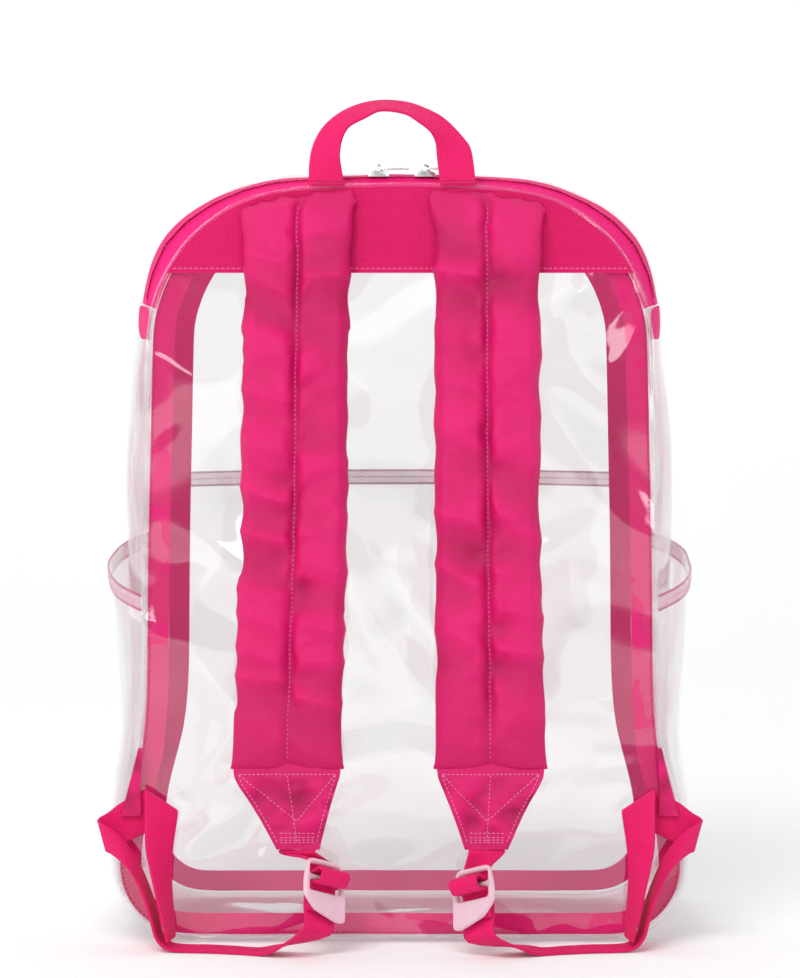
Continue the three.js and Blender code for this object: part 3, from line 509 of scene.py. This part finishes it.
bpy.ops.object.select_all(action="DESELECT")
bpy.ops.mesh.primitive_uv_sphere_add(segments=6, ring_count=4, radius=1, rotation=(0, math.pi / 2, 0))
stitch = bpy.context.object
bpy.ops.object.transform_apply(location=False, rotation=True, scale=False)
bpy.ops.object.shade_smooth()
stitch_mesh = stitch.data
bpy.data.objects.remove(stitch)


def seam_places(host, line, pitch, cast):
    """Where stitches sit on a piece: points felt along cast, with the seam's run and the cloth's normal."""
    line = [Vector(point) for point in line]
    spans = [(b - a).length for a, b in zip(line, line[1:])]
    count = max(2, round(sum(spans) / pitch))
    cast = Vector(cast)
    found = []
    for k in range(count):
        walk = (k + 0.5) / count * sum(spans)
        leg = 0
        while leg < len(spans) - 1 and walk > spans[leg]:
            walk -= spans[leg]
            leg += 1
        run = (line[leg + 1] - line[leg]).normalized()
        hit, place, normal, _ = host.ray_cast(line[leg] + run * walk, cast)
        if hit:
            found.append((place, run, normal))
    return found


def sew(name, places, thread, length=0.0022, width=0.00065):
    """Copies the stitch to each place and joins the copies to one piece."""
    copies = []
    for place, run, normal in places:
        copy = bpy.data.objects.new(name, stitch_mesh.copy())
        bpy.context.collection.objects.link(copy)
        side = normal.cross(run).normalized()
        ahead = side.cross(normal).normalized()
        turn = Matrix((ahead, side, normal)).transposed().to_4x4()
        shape = Matrix.Diagonal((length / 2, width / 2, width * 0.42, 1))
        copy.matrix_world = Matrix.Translation(place + normal * width * 0.12) @ turn @ shape
        copies.append(copy)
    bpy.ops.object.select_all(action="DESELECT")
    for copy in copies:
        copy.select_set(True)
    bpy.context.view_layer.objects.active = copies[0]
    bpy.ops.object.join()
    seam = bpy.context.object
    bpy.ops.object.transform_apply(location=True, rotation=True, scale=True)
    seam.name = name
    seam.data.materials.clear()
    seam.data.materials.append(thread)
    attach(seam, "bag")


seam_pitch = 0.003
hem_pitch = 0.0028
tape_cloth = cloth_finish("pink_tape", (236, 12, 126), (222, 8, 110), 0.0007, 0.0006, 0.6)
pale_thread = thread_finish("pale_pink_thread", (238, 132, 190))
deep_thread = thread_finish("deep_pink_thread", (190, 26, 96))
quilt_thread = thread_finish("quilting_thread", (228, 116, 172))
for panel, way in (("back", 1), ("front", -1)):
    node = panel + "_binding"
    tape = take(node, node + "_tape")
    soften(tape, 3)
    places = points(tape)
    places[:, 1] += way * (0.0007 * waves(places, 0.012, 11) + 0.0012 * waves(places, 0.04, 12))
    set_points(tape, places)
    sew_in(tape, tape_cloth, "pink_fabric", node)
for panel, rim, host, way in (("back", back_rim, back_film, 1), ("front", front_rim, front_film, -1)):
    line, outward = around(rim, 0.004)
    track = line - 0.0028 * outward - (0, 0.03 * way, 0)
    found = seam_places(host, list(track) + [track[0]], seam_pitch, (0, way, 0))
    sew(panel + "_seam_thread", found, deep_thread)

# Pockets. A sheet of film over the lower front makes a wide pocket; one at each side is sewn into both seams
# and stands open. Each mouth has a hem over a pale pink tape, with two dark lines and a row of stitches.
hem, dye = finish("pocket_hem")
across = dye.node("Attribute", {"attribute_name": "across"}, (), 2)
place = dye.node("TexCoord", outlet=3)
line_low = dye.node("MapRange", {"interpolation_type": "SMOOTHSTEP"}, {
    "Value": across, "From Min": 0.1, "From Max": 0.16, "To Min": 1, "To Max": 0})
line_high = dye.node("MapRange", {"interpolation_type": "SMOOTHSTEP"}, {
    "Value": across, "From Min": 0.84, "From Max": 0.9, "To Min": 0, "To Max": 1})
lines = dye.sum("MAXIMUM", line_low, line_high)
blotch = dye.node("TexNoise", (), {"Vector": place, "Scale": 160, "Detail": 3})
pale = dye.mix(blotch, linear(240, 196, 210), linear(226, 160, 184))
tinted = dye.mix(lines, pale, linear(188, 26, 96))
grain = dye.node("Bump", (), {"Strength": 0.6, "Distance": 0.0003, "Height": blotch})
tape = dye.node("BsdfPrincipled", (), {
    "Base Color": tinted, "Roughness": 0.3 + 0.1 * blotch, "Normal": grain, "Coat Weight": 0.5})
clear = dye.node("BsdfTransparent", (), {"Color": (0.98, 0.97, 0.975, 1)})
out(dye, dye.node("MixShader", (), {0: 0.28 + 0.3 * lines, 1: clear, 2: tape}))


def mark_across(piece, axis):
    """Marks each point of a hem 0 at its lower edge and 1 at its upper edge."""
    places = points(piece)
    mark = piece.data.attributes.new("across", "FLOAT", "POINT")
    for k, place in enumerate(places):
        column = np.abs(places[:, axis] - place[axis]) < 0.005
        mark.data[k].value = float(place[2] > places[column, 2].mean())


for node, name in (("front_pocket", "front_pocket_film"), ("side_pocket_left", "side_pocket_film_left"),
                   ("side_pocket_right", "side_pocket_film_right")):
    sheet = take(node, name)
    soften(sheet, 3)
    places = points(sheet)
    low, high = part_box(node)
    height = np.clip((places[:, 2] - low[2]) / (high[2] - low[2]), 0, 1)
    spread = 0 if node == "front_pocket" else 1
    reach = np.clip((places[:, spread] - low[spread]) / (high[spread] - low[spread]), 0, 1)
    hold = np.sin(math.pi * reach) * np.sin(math.pi * height) ** 0.5
    out_way = np.zeros((len(places), 3))
    out_way[:, 1 - spread] = 1 if node != "side_pocket_left" else -1
    lift = 0.0012 * waves(places, 0.05, 6) * hold
    set_points(sheet, places + out_way * lift[:, None])
    sew_in(sheet, film, "clear_vinyl", node)
for node, name, axis in (("front_pocket_hem", "front_pocket_hem_tape", 0),
                         ("side_pocket_hem_left", "side_pocket_hem_tape_left", 1),
                         ("side_pocket_hem_right", "side_pocket_hem_tape_right", 1)):
    band = take(node, name)
    mark_across(band, axis)
    soften(band, 3)
    sew_in(band, hem, "clear_vinyl", node)
    low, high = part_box(node)
    if axis == 0:
        line = [(x, 0.3, high[2] - 0.0045) for x in np.linspace(low[0] + 0.004, high[0] - 0.004, 20)]
        sew("front_pocket_thread", seam_places(band, line, hem_pitch, (0, -1, 0)), pale_thread)
    else:
        way = 1 if node.endswith("left") else -1
        line = [(-0.3 * way, back_plane + 0.0013 + share * 0.136,
                 (0.1925 + 0.029 * share) * (1 - 0.014 * share)) for share in np.linspace(0.04, 0.96, 20)]
        found = seam_places(band, line, hem_pitch, (way, 0, 0))
        sew("side_pocket_thread_" + node.rpartition("_")[2], found, pale_thread)

# Yoke. A band of gridded pink cloth across the top of the back.
# Its upper edge is sewn in with the seam, and its lower edge is stitched to the film.
gridded, dye = finish("pink_ripstop")
place = dye.node("TexCoord", outlet=3)
grid_pitch = 0.0017
bars = [dye.node("SeparateXYZ", (), {0: place}, axis) * (math.pi / grid_pitch) for axis in (0, 2)]
bars = [dye.sum("ABSOLUTE", dye.sum("SINE", bar)) for bar in bars]
thread_line = dye.node("MapRange", {"interpolation_type": "SMOOTHSTEP"}, {
    "Value": dye.sum("MINIMUM", *bars), "From Min": 0.1, "From Max": 0.45, "To Min": 1, "To Max": 0})
blotch = dye.node("TexNoise", (), {"Vector": place, "Scale": 22, "Detail": 3})
base = dye.mix(blotch, linear(220, 14, 104), linear(206, 10, 92))
colour = dye.mix(thread_line * 0.5, base, linear(176, 6, 72))
raised = dye.node("Bump", (), {"Strength": 0.7, "Distance": 0.00025, "Height": thread_line})
rumple = dye.node("TexNoise", (), {"Vector": place, "Scale": 60, "Detail": 2})
bumped = dye.node("Bump", (), {"Strength": 1, "Distance": 0.0006, "Height": rumple, "Normal": raised})
out(dye, dye.node("BsdfPrincipled", (), {
    "Base Color": colour, "Roughness": 0.6 + 0.1 * blotch, "Normal": bumped, "Specular IOR Level": 0.25}))
yoke = take("yoke", "yoke_band")
soften(yoke, 3)
places = points(yoke)
places[:, 1] += 0.0006 * waves(places, 0.03, 15)
set_points(yoke, places)
sew_in(yoke, gridded, "pink_fabric", "yoke")
low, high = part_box("yoke")
line = [(x, -0.1, low[2] + 0.0025) for x in np.linspace(low[0] + 0.003, high[0] - 0.003, 40)]
sew("yoke_thread", seam_places(yoke, line, seam_pitch, (0, 1, 0)), pale_thread)

# Shoulder straps. Foam in a tube of shiny pink nylon, sewn into the top seam and quilted down the middle,
# so that the cloth puckers on both sides of the stitches. The tube's end is turned in and sewn across.
pad_cloth = cloth_finish("pink_pad_cloth", (220, 12, 108), (206, 8, 98), 0.0005, 0.0008, 0.4, fold_shading=True)


def swell(pad, pressure, cap):
    """Blows a pad up with Cloth, each point within cap of its start and hardly sideways."""
    start = points(pad)
    cloth = pad.modifiers.new("swell", "CLOTH")
    cloth.settings.use_pressure = True
    cloth.settings.uniform_pressure_force = pressure
    cloth.settings.effector_weights.gravity = 0
    for number in range(1, 21):
        bpy.context.scene.frame_set(number)
    swollen = pad.evaluated_get(bpy.context.evaluated_depsgraph_get())
    ends = np.empty(len(swollen.data.vertices) * 3)
    swollen.data.vertices.foreach_get("co", ends)
    move = (ends.reshape(-1, 3) - start) * (0.15, 1, 1)
    far = np.linalg.norm(move, axis=1)[:, None] + 1e-9
    pad.modifiers.remove(cloth)
    set_points(pad, start + move * np.minimum(1, cap / far))
    bpy.context.scene.frame_set(1)


def mark_shade_paint(piece, shade_amount):
    """Marks how much painted shade each point gets in the cloth's folds, from 0 to 1."""
    mark = piece.data.attributes.new("painted_shade", "FLOAT", "POINT")
    mark.data.foreach_set("value", np.clip(shade_amount, 0, 1).astype(np.float32))


def middle_line(places):
    """Middle of a strap across, as heights and places from slices."""
    heights, middles = [], []
    for mark in np.arange(places[:, 2].min(), places[:, 2].max(), 0.006):
        slice_x = places[np.abs(places[:, 2] - mark) < 0.004, 0]
        if len(slice_x) > 4:
            heights.append(mark)
            middles.append((slice_x.min() + slice_x.max()) / 2)
    return np.array(heights), np.array(middles)


for side, seed in (("left", 21), ("right", 31)):
    node = "shoulder_strap_" + side
    pad = take(node, "strap_pad_" + side)
    mesh = pad.modifiers.new("mesh", "REMESH")
    mesh.mode = "VOXEL"
    mesh.voxel_size = 0.0025
    even = pad.modifiers.new("even", "SMOOTH")
    even.factor = 0.5
    even.iterations = 3
    apply_all(pad)
    swell(pad, 4, 0.003)
    soften(pad, 1, corner=180)
    places, ways = points(pad), normals(pad)
    head = np.clip((places[:, 2] - 0.4) / (places[:, 2].max() - 0.4), 0, 1)
    places[:, 2] += head ** 2 * (0.4236 - places[:, 2].max())
    heights, middles = middle_line(places)
    across = places[:, 0] - np.interp(places[:, 2], heights, middles)
    spread = np.abs(across)
    up = places[:, 2]
    end = up.min()
    facing = np.clip(np.abs(ways[:, 1]) * 1.5 - 0.3, 0, 1) * np.sign(ways[:, 1])
    half = np.sign(across) * 0.2
    level = np.zeros(len(up))
    drift = np.stack([half + across * 0.3, level, up + 0.25 * spread * np.sign(across)], 1)
    fold = 1 - 2.6 * np.abs(waves(drift, 0.026, seed))
    fine = waves(np.stack([half + across * 0.6, level, up - 0.3 * spread], 1), 0.0085, seed + 1)
    broad = waves(places * (0.7, 0, 1), 0.045, seed + 2)
    lift = -0.002 * np.exp(-(across / 0.0024) ** 2) + 0.0003 * np.exp(-((across - 0.0036) / 0.001) ** 2)
    lift += 0.0056 * fold * (0.4 + 0.6 * np.exp(-spread / 0.014)) * np.clip(spread / 0.006, 0.05, 1)
    lift += 0.0036 * fine * np.exp(-spread / 0.011) * np.clip(spread / 0.003, 0.1, 1) + 0.003 * broad
    calm = np.clip((up - end) / 0.06, 0.15, 1) * np.clip((0.43 - up) / 0.03, 0.3, 1)
    places[:, 1] += facing * calm * lift
    rim = np.clip((spread - 0.018) / 0.01, 0, 1)
    flare = 0.0022 * np.exp(-(up - end) / 0.004) + 0.0022 * head ** 2
    places[:, 0] += np.sign(across) * rim * (0.0016 * fold * calm + 0.0008 * broad + flare)
    set_points(pad, places)
    # Painted shade: points that sink into the puckers are painted darker.
    mark_shade_paint(pad, 0.3 - 120 * calm * lift)
    sew_in(pad, pad_cloth, "pink_fabric", node, angle=180)
    line = [(x, -0.3, z) for z, x in zip(heights, middles) if end + 0.004 < z < 0.421]
    sew("quilting_" + side, seam_places(pad, line, 0.0026, (0, 1, 0)), quilt_thread, 0.0013, 0.0007)

# Strap end tabs. Doubled nylon that narrows from the pad to the webbing, held by stitches round its border,
# two slanted lines, a middle line and close rows across the bottom.
for side, seed in (("left", 40), ("right", 42)):
    node = "strap_tab_" + side
    tab = take(node, "strap_end_tab_" + side)
    soften(tab, 4)
    low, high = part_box(node)
    places = points(tab)
    down = np.clip((high[2] - places[:, 2]) / (high[2] - low[2]), 0, 1)
    dent = waves(places * (1, 0, 0.8), 0.013, seed) + 0.5 * waves(places * (1, 0, 1), 0.006, seed + 1)
    places[:, 1] += 0.0042 * dent * np.sin(math.pi * down) ** 0.5
    tuck = np.clip(1 - down / 0.06, 0, 1)
    places[:, 1] += 0.0022 * tuck
    places[:, 2] += 0.005 * tuck
    set_points(tab, places)
    # Painted shade: the cloth is painted darker where it is dented in.
    mark_shade_paint(tab, 0.25 + 0.9 * dent * np.sin(math.pi * down))
    sew_in(tab, pad_cloth, "pink_fabric", node)
    top, foot = high[2] - 0.001, low[2] + 0.004
    tip = places[places[:, 2] < low[2] + 0.004, 0].mean()
    borders = []
    for outer in (-1, 1):
        border = []
        for height in np.linspace(top, foot, 9):
            inside, outside = tip, tip + outer * 0.06
            for _ in range(12):
                x = (inside + outside) / 2
                hit = tab.ray_cast(Vector((x, -0.3, height)), Vector((0, 1, 0)))[0]
                inside, outside = (x, outside) if hit else (inside, x)
            border.append((inside - outer * 0.0026, -0.3, height))
        borders.append(border)
    (left_top, left_foot), (right_top, right_foot) = [(border[0], border[-1]) for border in borders]
    middle_top, middle_foot = (left_top[0] + right_top[0]) / 2, (left_foot[0] + right_foot[0]) / 2
    runs = borders + [[left_top, right_top]]
    runs += [[corner, (middle_foot, -0.3, foot + 0.012)] for corner in (left_top, right_top)]
    runs.append([(middle_top, -0.3, top), (middle_foot, -0.3, foot)])
    for lift in (0, 0.0014, 0.0028, 0.0052):
        runs.append([(left_foot[0] + 0.001, -0.3, foot + lift), (right_foot[0] - 0.001, -0.3, foot + lift)])
    sewn = [place for run in runs for place in seam_places(tab, run, 0.0024, (0, 1, 0))]
    sew("tab_thread_" + side, sewn, pale_thread, 0.0018, 0.0006)

# Webbing. Pink ribbed strap, 20 mm wide. Each adjusting webbing hangs free at one end, loops round its corner
# tab, runs down to the floor and through its ladder lock; a stub joins each strap's end tab to the lock.
ribbed, dye = finish("pink_webbing")
laid = dye.node("UVMap", {"uv_map": "UVMap"})
across = dye.node("SeparateXYZ", (), {0: laid}, 0)
along = dye.node("SeparateXYZ", (), {0: laid}, 1)
rib = dye.sum("ABSOLUTE", dye.sum("SINE", along * (math.pi / 0.0011)))
cord = dye.sum("ABSOLUTE", dye.sum("SINE", across * (math.pi / 0.002))) ** 0.5
weave = (0.35 + 0.65 * rib) * (0.5 + 0.5 * cord)
blotch = dye.node("TexNoise", (), {"Vector": dye.node("TexCoord", outlet=3), "Scale": 40, "Detail": 2})
base = dye.mix(blotch, linear(246, 14, 114), linear(232, 12, 104))
colour = dye.mix(weave, linear(188, 4, 76), base)
bumped = dye.node("Bump", (), {"Strength": 0.9, "Distance": 0.0004, "Height": weave})
out(dye, dye.node("BsdfPrincipled", (), {
    "Base Color": colour, "Roughness": 0.6 + 0.1 * blotch, "Normal": bumped, "Specular IOR Level": 0.3}))


def smooth_rows(rows, steps=4):
    """The rows of edge points with smooth rows between them."""
    rows = [[Vector(edge) for edge in row] for row in rows]
    rows = [rows[0]] + rows + [rows[-1]]
    made = []
    for k in range(1, len(rows) - 2):
        for step in range(steps):
            t = step / steps
            made.append([
                0.5 * (2 * b + (c - a) * t + (2 * a - 5 * b + 4 * c - d) * t * t
                       + (3 * b - a - 3 * c + d) * t * t * t)
                for a, b, c, d in zip(rows[k - 1], rows[k], rows[k + 1], rows[k + 2])])
    made.append(rows[-2])
    return made


def in_frame(point, handed=1):
    """A point in millimetres from the back panel's plane, as a point in the frame."""
    return Vector((handed * point[0] / 1000, back_plane + point[1] / 1000, point[2] / 1000))


webbing_width = 20
webbing_thickness = 0.0016
lock_seats = {}
for side, handed, out_x, up_z in (("left", -1, -42.0, 37.0), ("right", 1, 41.0, 33.0)):
    lay = Matrix(((1, 0, 0, 0), (0, 0, -1, 0), (0, 1, 0, 0), (0, 0, 0, 1)))
    turn = Matrix.Rotation(math.radians(-25), 4, "X") @ Matrix.Rotation(math.radians(-42) * handed, 4, "Z")
    lock_seats[side] = Matrix.Translation((out_x, -42, up_z)) @ turn @ lay


def through_lock(side, handed, rows):
    """Rows of distance along the lock and out from its plate, as edge points across the webbing."""
    half = webbing_width / 2
    return [[in_frame(lock_seats[side] @ Vector((-handed * edge * half, along, out_of))) for edge in (1, -1)]
            for along, out_of in rows]


corner_route = [
    ((129.6, -33, 6), (126.5, -14, 6)), ((133.5, -32, 22), (127.5, -13, 22)),
    ((138, -28, 40), (128.5, -12, 40)), ((142, -23, 58), (127.5, -11, 56)),
    ((142.6, -17, 76), (125.6, -10.5, 68)), ((143, -13, 86.4), (124.6, -10, 75)),
    ((143.3, -9.2, 88), (125.4, -7.2, 76.2)), ((143.5, -4.6, 86.4), (126.4, -4.6, 74.4)),
    ((156, -4.4, 81), (138, -4.4, 66)), ((164, -4.4, 75), (152, -4.4, 59)),
    ((168.6, -6.2, 72.4), (162.4, -6.2, 55)), ((169.2, -9.4, 71), (164.6, -9.6, 53.6)),
    ((166, -12.2, 69.4), (161, -13.6, 52.4)), ((158, -13, 64), (153.6, -20, 47)),
    ((149, -12.6, 52), (147, -26, 38.6)), ((141.6, -12.2, 36), (142, -30, 28)),
    ((136.6, -12, 20), (138.6, -31.6, 17)), ((134, -12, 9), (136, -32, 8)),
    ((129, -12.4, 2.6), (130.4, -32.4, 2.4)), ((121, -13, 1.1), (121, -33, 1.1)),
    ((106, -15, 1.1), (105, -35, 1.1)), ((92, -19, 1.1), (89, -39, 1.1)),
    ((80, -24, 1.2), (77, -44, 1.4)), ((70, -29, 3.4), (69, -48.6, 4.6)),
]
lock_route = [
    (-22.4, -6.6), (-10.2, -5.6), (0, -5.1), (6.6, -4.1), (9.2, -2.9), (9.2, 0), (9.4, 3), (10.2, 6.6),
    (7.2, 9.6), (2.2, 6.6), (3, 3), (3.2, 0), (1.8, -2.7), (-6.8, -2.9), (-12.2, -2.9),
]
for side, handed, tip in (("left", -1, -56.6), ("right", 1, 48.0)):
    route = [[in_frame(edge, handed) for edge in row] for row in corner_route]
    web = lay_strip("adjusting_webbing_" + side, smooth_rows(route + through_lock(side, handed, lock_route)),
                    webbing_thickness)
    sew_in(web, ribbed, "pink_webbing", "webbing_" + side)
    sewn = [[in_frame((tip - handed * edge * webbing_width / 2, -34, height)) for edge in (1, -1)]
            for height in (58.4, 56.4)]
    stub = lay_strip("strap_stub_webbing_" + side, smooth_rows(sewn + through_lock(side, handed, [
        (17, -2.9), (10.8, -2.9)])), webbing_thickness)
    sew_in(stub, ribbed, "pink_webbing", "strap_stub_" + side)

# Ladder locks. Moulded in frosted nylon, translucent: a plate with rounded edges and two slots.
# It is thicker at its rim and its two bars, with two small moulded dots on the lower rail.
frosted, dye = finish("frosted_nylon")
place = dye.node("TexCoord", outlet=3)
cloudy = dye.node("TexNoise", (), {"Vector": place, "Scale": 120, "Detail": 3})
colour = dye.mix(cloudy, linear(246, 224, 234), linear(236, 196, 214))
frost = dye.node("TexNoise", (), {"Vector": place, "Scale": 1800, "Detail": 1})
bumped = dye.node("Bump", (), {"Strength": 0.25, "Distance": 0.0001, "Height": frost})
nylon = dye.node("BsdfPrincipled", (), {
    "Base Color": colour, "Roughness": 0.3 + 0.15 * cloudy, "Normal": bumped, "Subsurface Weight": 0.4,
    "Subsurface Radius": (0.004, 0.002, 0.003), "Subsurface Scale": 1, "Coat Weight": 0.2})
facing = dye.node("LayerWeight", (), {"Blend": 0.35}, 1)
clear = dye.node("BsdfTransparent", (), {"Color": linear(246, 214, 228)})
out(dye, dye.node("MixShader", (), {0: dye.sum("MINIMUM", 1, 0.66 + 0.4 * facing), 1: clear, 2: nylon}))
for side, handed in (("left", -1), ("right", 1)):
    node = "ladder_lock_" + side
    lock = take(node, "frosted_lock_" + side)
    to_frame = Matrix.Translation((0, back_plane, 0)) @ Matrix.Scale(0.001, 4) @ lock_seats[side]
    dots = []
    for shift in (-3, 3):
        bpy.ops.object.select_all(action="DESELECT")
        bpy.ops.mesh.primitive_uv_sphere_add(segments=16, ring_count=8, radius=0.0011)
        dot = bpy.context.object
        dot.location = to_frame @ Vector((shift, -13, 1.4))
        dots.append(dot)
    bpy.ops.object.select_all(action="DESELECT")
    for piece in [lock] + dots:
        piece.select_set(True)
    bpy.context.view_layer.objects.active = lock
    bpy.ops.object.join()
    mould = lock.modifiers.new("mould", "REMESH")
    mould.mode = "VOXEL"
    mould.voxel_size = 0.0005
    round_off = lock.modifiers.new("round_off", "SMOOTH")
    round_off.factor = 0.5
    round_off.iterations = 8
    apply_all(lock)
    places = points(lock)
    back = to_frame.inverted()
    local = np.array([back @ Vector(place) for place in places])
    rim = np.clip(np.abs(local[:, 0]) / 14.5 - 0.72, 0, 0.2) * 5
    bar = np.exp(-((local[:, 1] - 6.2) / 1.3) ** 2) + np.exp(-((local[:, 1] - 15.4) / 1.4) ** 2)
    local[:, 2] *= 1 + 0.22 * np.clip(rim + bar, 0, 1)
    set_points(lock, np.array([to_frame @ Vector(place) for place in local]))
    sew_in(lock, frosted, "frosted_plastic", node, angle=60)

# Corner tabs. Small triangles of folded pink cloth sewn into the back seam; they hold the webbings.
for side in ("left", "right"):
    node = "corner_tab_" + side
    corner = take(node, "corner_tab_cloth_" + side)
    soften(corner, 4)
    places = points(corner)
    places[:, 1] += 0.0006 * waves(places, 0.01, 51)
    set_points(corner, places)
    # Painted shade: the cloth is painted darker where its waves push it in.
    mark_shade_paint(corner, 0.2 + waves(places, 0.01, 51))
    sew_in(corner, pad_cloth, "pink_fabric", node)

# Grab handle. One length of the same webbing, face on where it is sewn in and turned edge on over the top.
handle_route = [
    ((-50.6, -2, 426.3), (-30.6, -2, 426.3)), ((-50.6, -2.2, 438), (-32.6, -4.6, 436.6)),
    ((-48.4, -1.6, 449), (-33.4, -6.4, 444.6)), ((-43, 1, 458.6), (-31.8, -8, 453.4)),
    ((-34, 5, 466.4), (-28, -8.6, 459.6)), ((-22.6, 8.4, 471.6), (-19.6, -9, 464.2)),
    ((-10.6, 9.6, 473.6), (-10.6, -9.4, 468.2)), ((2.8, 9.4, 472.8), (2.6, -9, 466.6)),
    ((13.6, 8.4, 469.4), (10.6, -8.6, 461.8)), ((24.8, 6.4, 463.4), (17, -8, 456.6)),
    ((36, 2.6, 452), (19.8, -6.4, 450.6)), ((40, -0.6, 444.6), (20.6, -4.4, 442)),
    ((42.4, -2, 426.3), (22.4, -2, 426.3)),
]
route = [[in_frame(edge) for edge in row] for row in handle_route]
handle = lay_strip("grab_handle_webbing", smooth_rows(route, 6), webbing_thickness)
sew_in(handle, ribbed, "pink_webbing", "grab_handle")
sewn = []
for middle in (-40.6, 32.4):
    for height in (427.6, 429.4):
        line = [(*in_frame((middle + edge * 9, -200, height)),) for edge in (-1, 1)]
        sewn += seam_places(handle, line, 0.0022, (0, 1, 0))
sew("handle_thread", sewn, deep_thread)

# Zip. Two pink tapes with a nylon coil between them over the top, and a folded tab sewn over each end.
for node, name in (("zip_tape_back", "zip_tape_cloth_back"), ("zip_tape_front", "zip_tape_cloth_front"),
                   ("zip_end_left", "zip_end_cloth_left"), ("zip_end_right", "zip_end_cloth_right"),
                   ("zip_coil", "zip_coil_cloth")):
    tape = take(node, name)
    if node == "zip_coil":
        hull = points(tape)
    soften(tape, 3, corner=100 if node.startswith("zip_end") else 50)
    places = points(tape)
    if node.startswith("zip_tape"):
        places[:, 2] += 0.0005 * waves(places * (1, 0.3, 1), 0.02, 61)
    set_points(tape, places)
    sew_in(tape, tape_cloth, "zip_coil" if node == "zip_coil" else "pink_fabric", node)
turns = np.arctan2(hull[:, 0], hull[:, 2] - 0.3)
order = np.argsort(turns)
spine = np.array([hull[order[k:k + 4]].mean(axis=0) for k in range(0, len(order) - 3, 4)])
bpy.ops.object.select_all(action="DESELECT")
bpy.ops.mesh.primitive_uv_sphere_add(segments=8, ring_count=4, radius=1, rotation=(math.pi / 2, 0, 0))
tooth = bpy.context.object
bpy.ops.object.transform_apply(location=False, rotation=True, scale=False)
bpy.ops.object.shade_smooth()
walked = np.concatenate([[0], np.cumsum(np.linalg.norm(np.diff(spine, axis=0), axis=1))])
teeth = []
for k, step in enumerate(np.arange(0.004, walked[-1] - 0.004, 0.0013)):
    here, ahead = [np.array([np.interp(s, walked, spine[:, axis]) for axis in range(3)])
                   for s in (step, step + 0.001)]
    run = Vector(ahead - here).normalized()
    depth = Vector((0, 1, 0))
    rise = depth.cross(run).normalized()
    if rise.z < 0:
        rise = -rise
    copy = bpy.data.objects.new("zip_coil_teeth", tooth.data.copy())
    bpy.context.collection.objects.link(copy)
    turn = Matrix((run, depth, rise)).transposed().to_4x4()
    way = 1 if k % 2 else -1
    seat = Matrix.Translation(Vector(here) + rise * 0.0013 + depth * way * 0.0008)
    copy.matrix_world = seat @ turn @ Matrix.Diagonal((0.0007, 0.0021, 0.0008, 1))
    teeth.append(copy)
bpy.data.objects.remove(tooth)
bpy.ops.object.select_all(action="DESELECT")
for copy in teeth:
    copy.select_set(True)
bpy.context.view_layer.objects.active = teeth[0]
bpy.ops.object.join()
chain = bpy.context.object
bpy.ops.object.transform_apply(location=True, rotation=True, scale=True)
chain.name = "zip_coil_teeth"
coil, dye = finish("pink_coil")
blotch = dye.node("TexNoise", (), {"Vector": dye.node("TexCoord", outlet=3), "Scale": 300, "Detail": 2})
colour = dye.mix(blotch, linear(216, 24, 108), linear(192, 16, 90))
bumped = dye.node("Bump", (), {"Strength": 0.3, "Distance": 0.0001, "Height": blotch})
out(dye, dye.node("BsdfPrincipled", (), {
    "Base Color": colour, "Roughness": 0.35 + 0.1 * blotch, "Normal": bumped}))
sew_in(chain, coil, "zip_coil")

# Zip sliders and pulls. Nickel-plated castings; each pull hangs on its bar in the slider's bridge, on a body
# of its own.
metal, dye = finish("bright_metal")
place = dye.node("TexCoord", outlet=3)
haze = dye.node("TexNoise", (), {"Vector": place, "Scale": 260, "Detail": 3})
scratch = dye.node("TexNoise", (), {"Vector": place, "Scale": 1400, "Detail": 2, "Distortion": 1.5})
colour = dye.mix(haze, (0.82, 0.82, 0.83, 1), (0.66, 0.66, 0.68, 1))
bumped = dye.node("Bump", (), {"Strength": 0.2, "Distance": 0.0001, "Height": scratch})
out(dye, dye.node("BsdfPrincipled", (), {
    "Base Color": colour, "Metallic": 1, "Roughness": 0.16 + 0.2 * haze, "Normal": bumped}))
for node, name, body in (("zip_slider_left", "slider_body_left", "bag"),
                         ("zip_slider_right", "slider_body_right", "bag"),
                         ("zip_pull_left", "slider_pull_left", "pull_left"),
                         ("zip_pull_right", "slider_pull_right", "pull_right")):
    part = take(node, name)
    bevel = part.modifiers.new("bevel", "BEVEL")
    bevel.width = 0.00025
    bevel.segments = 3
    bevel.angle_limit = math.radians(35)
    apply_all(part)
    sew_in(part, metal, "zip_metal", node, body=body)

low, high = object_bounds()
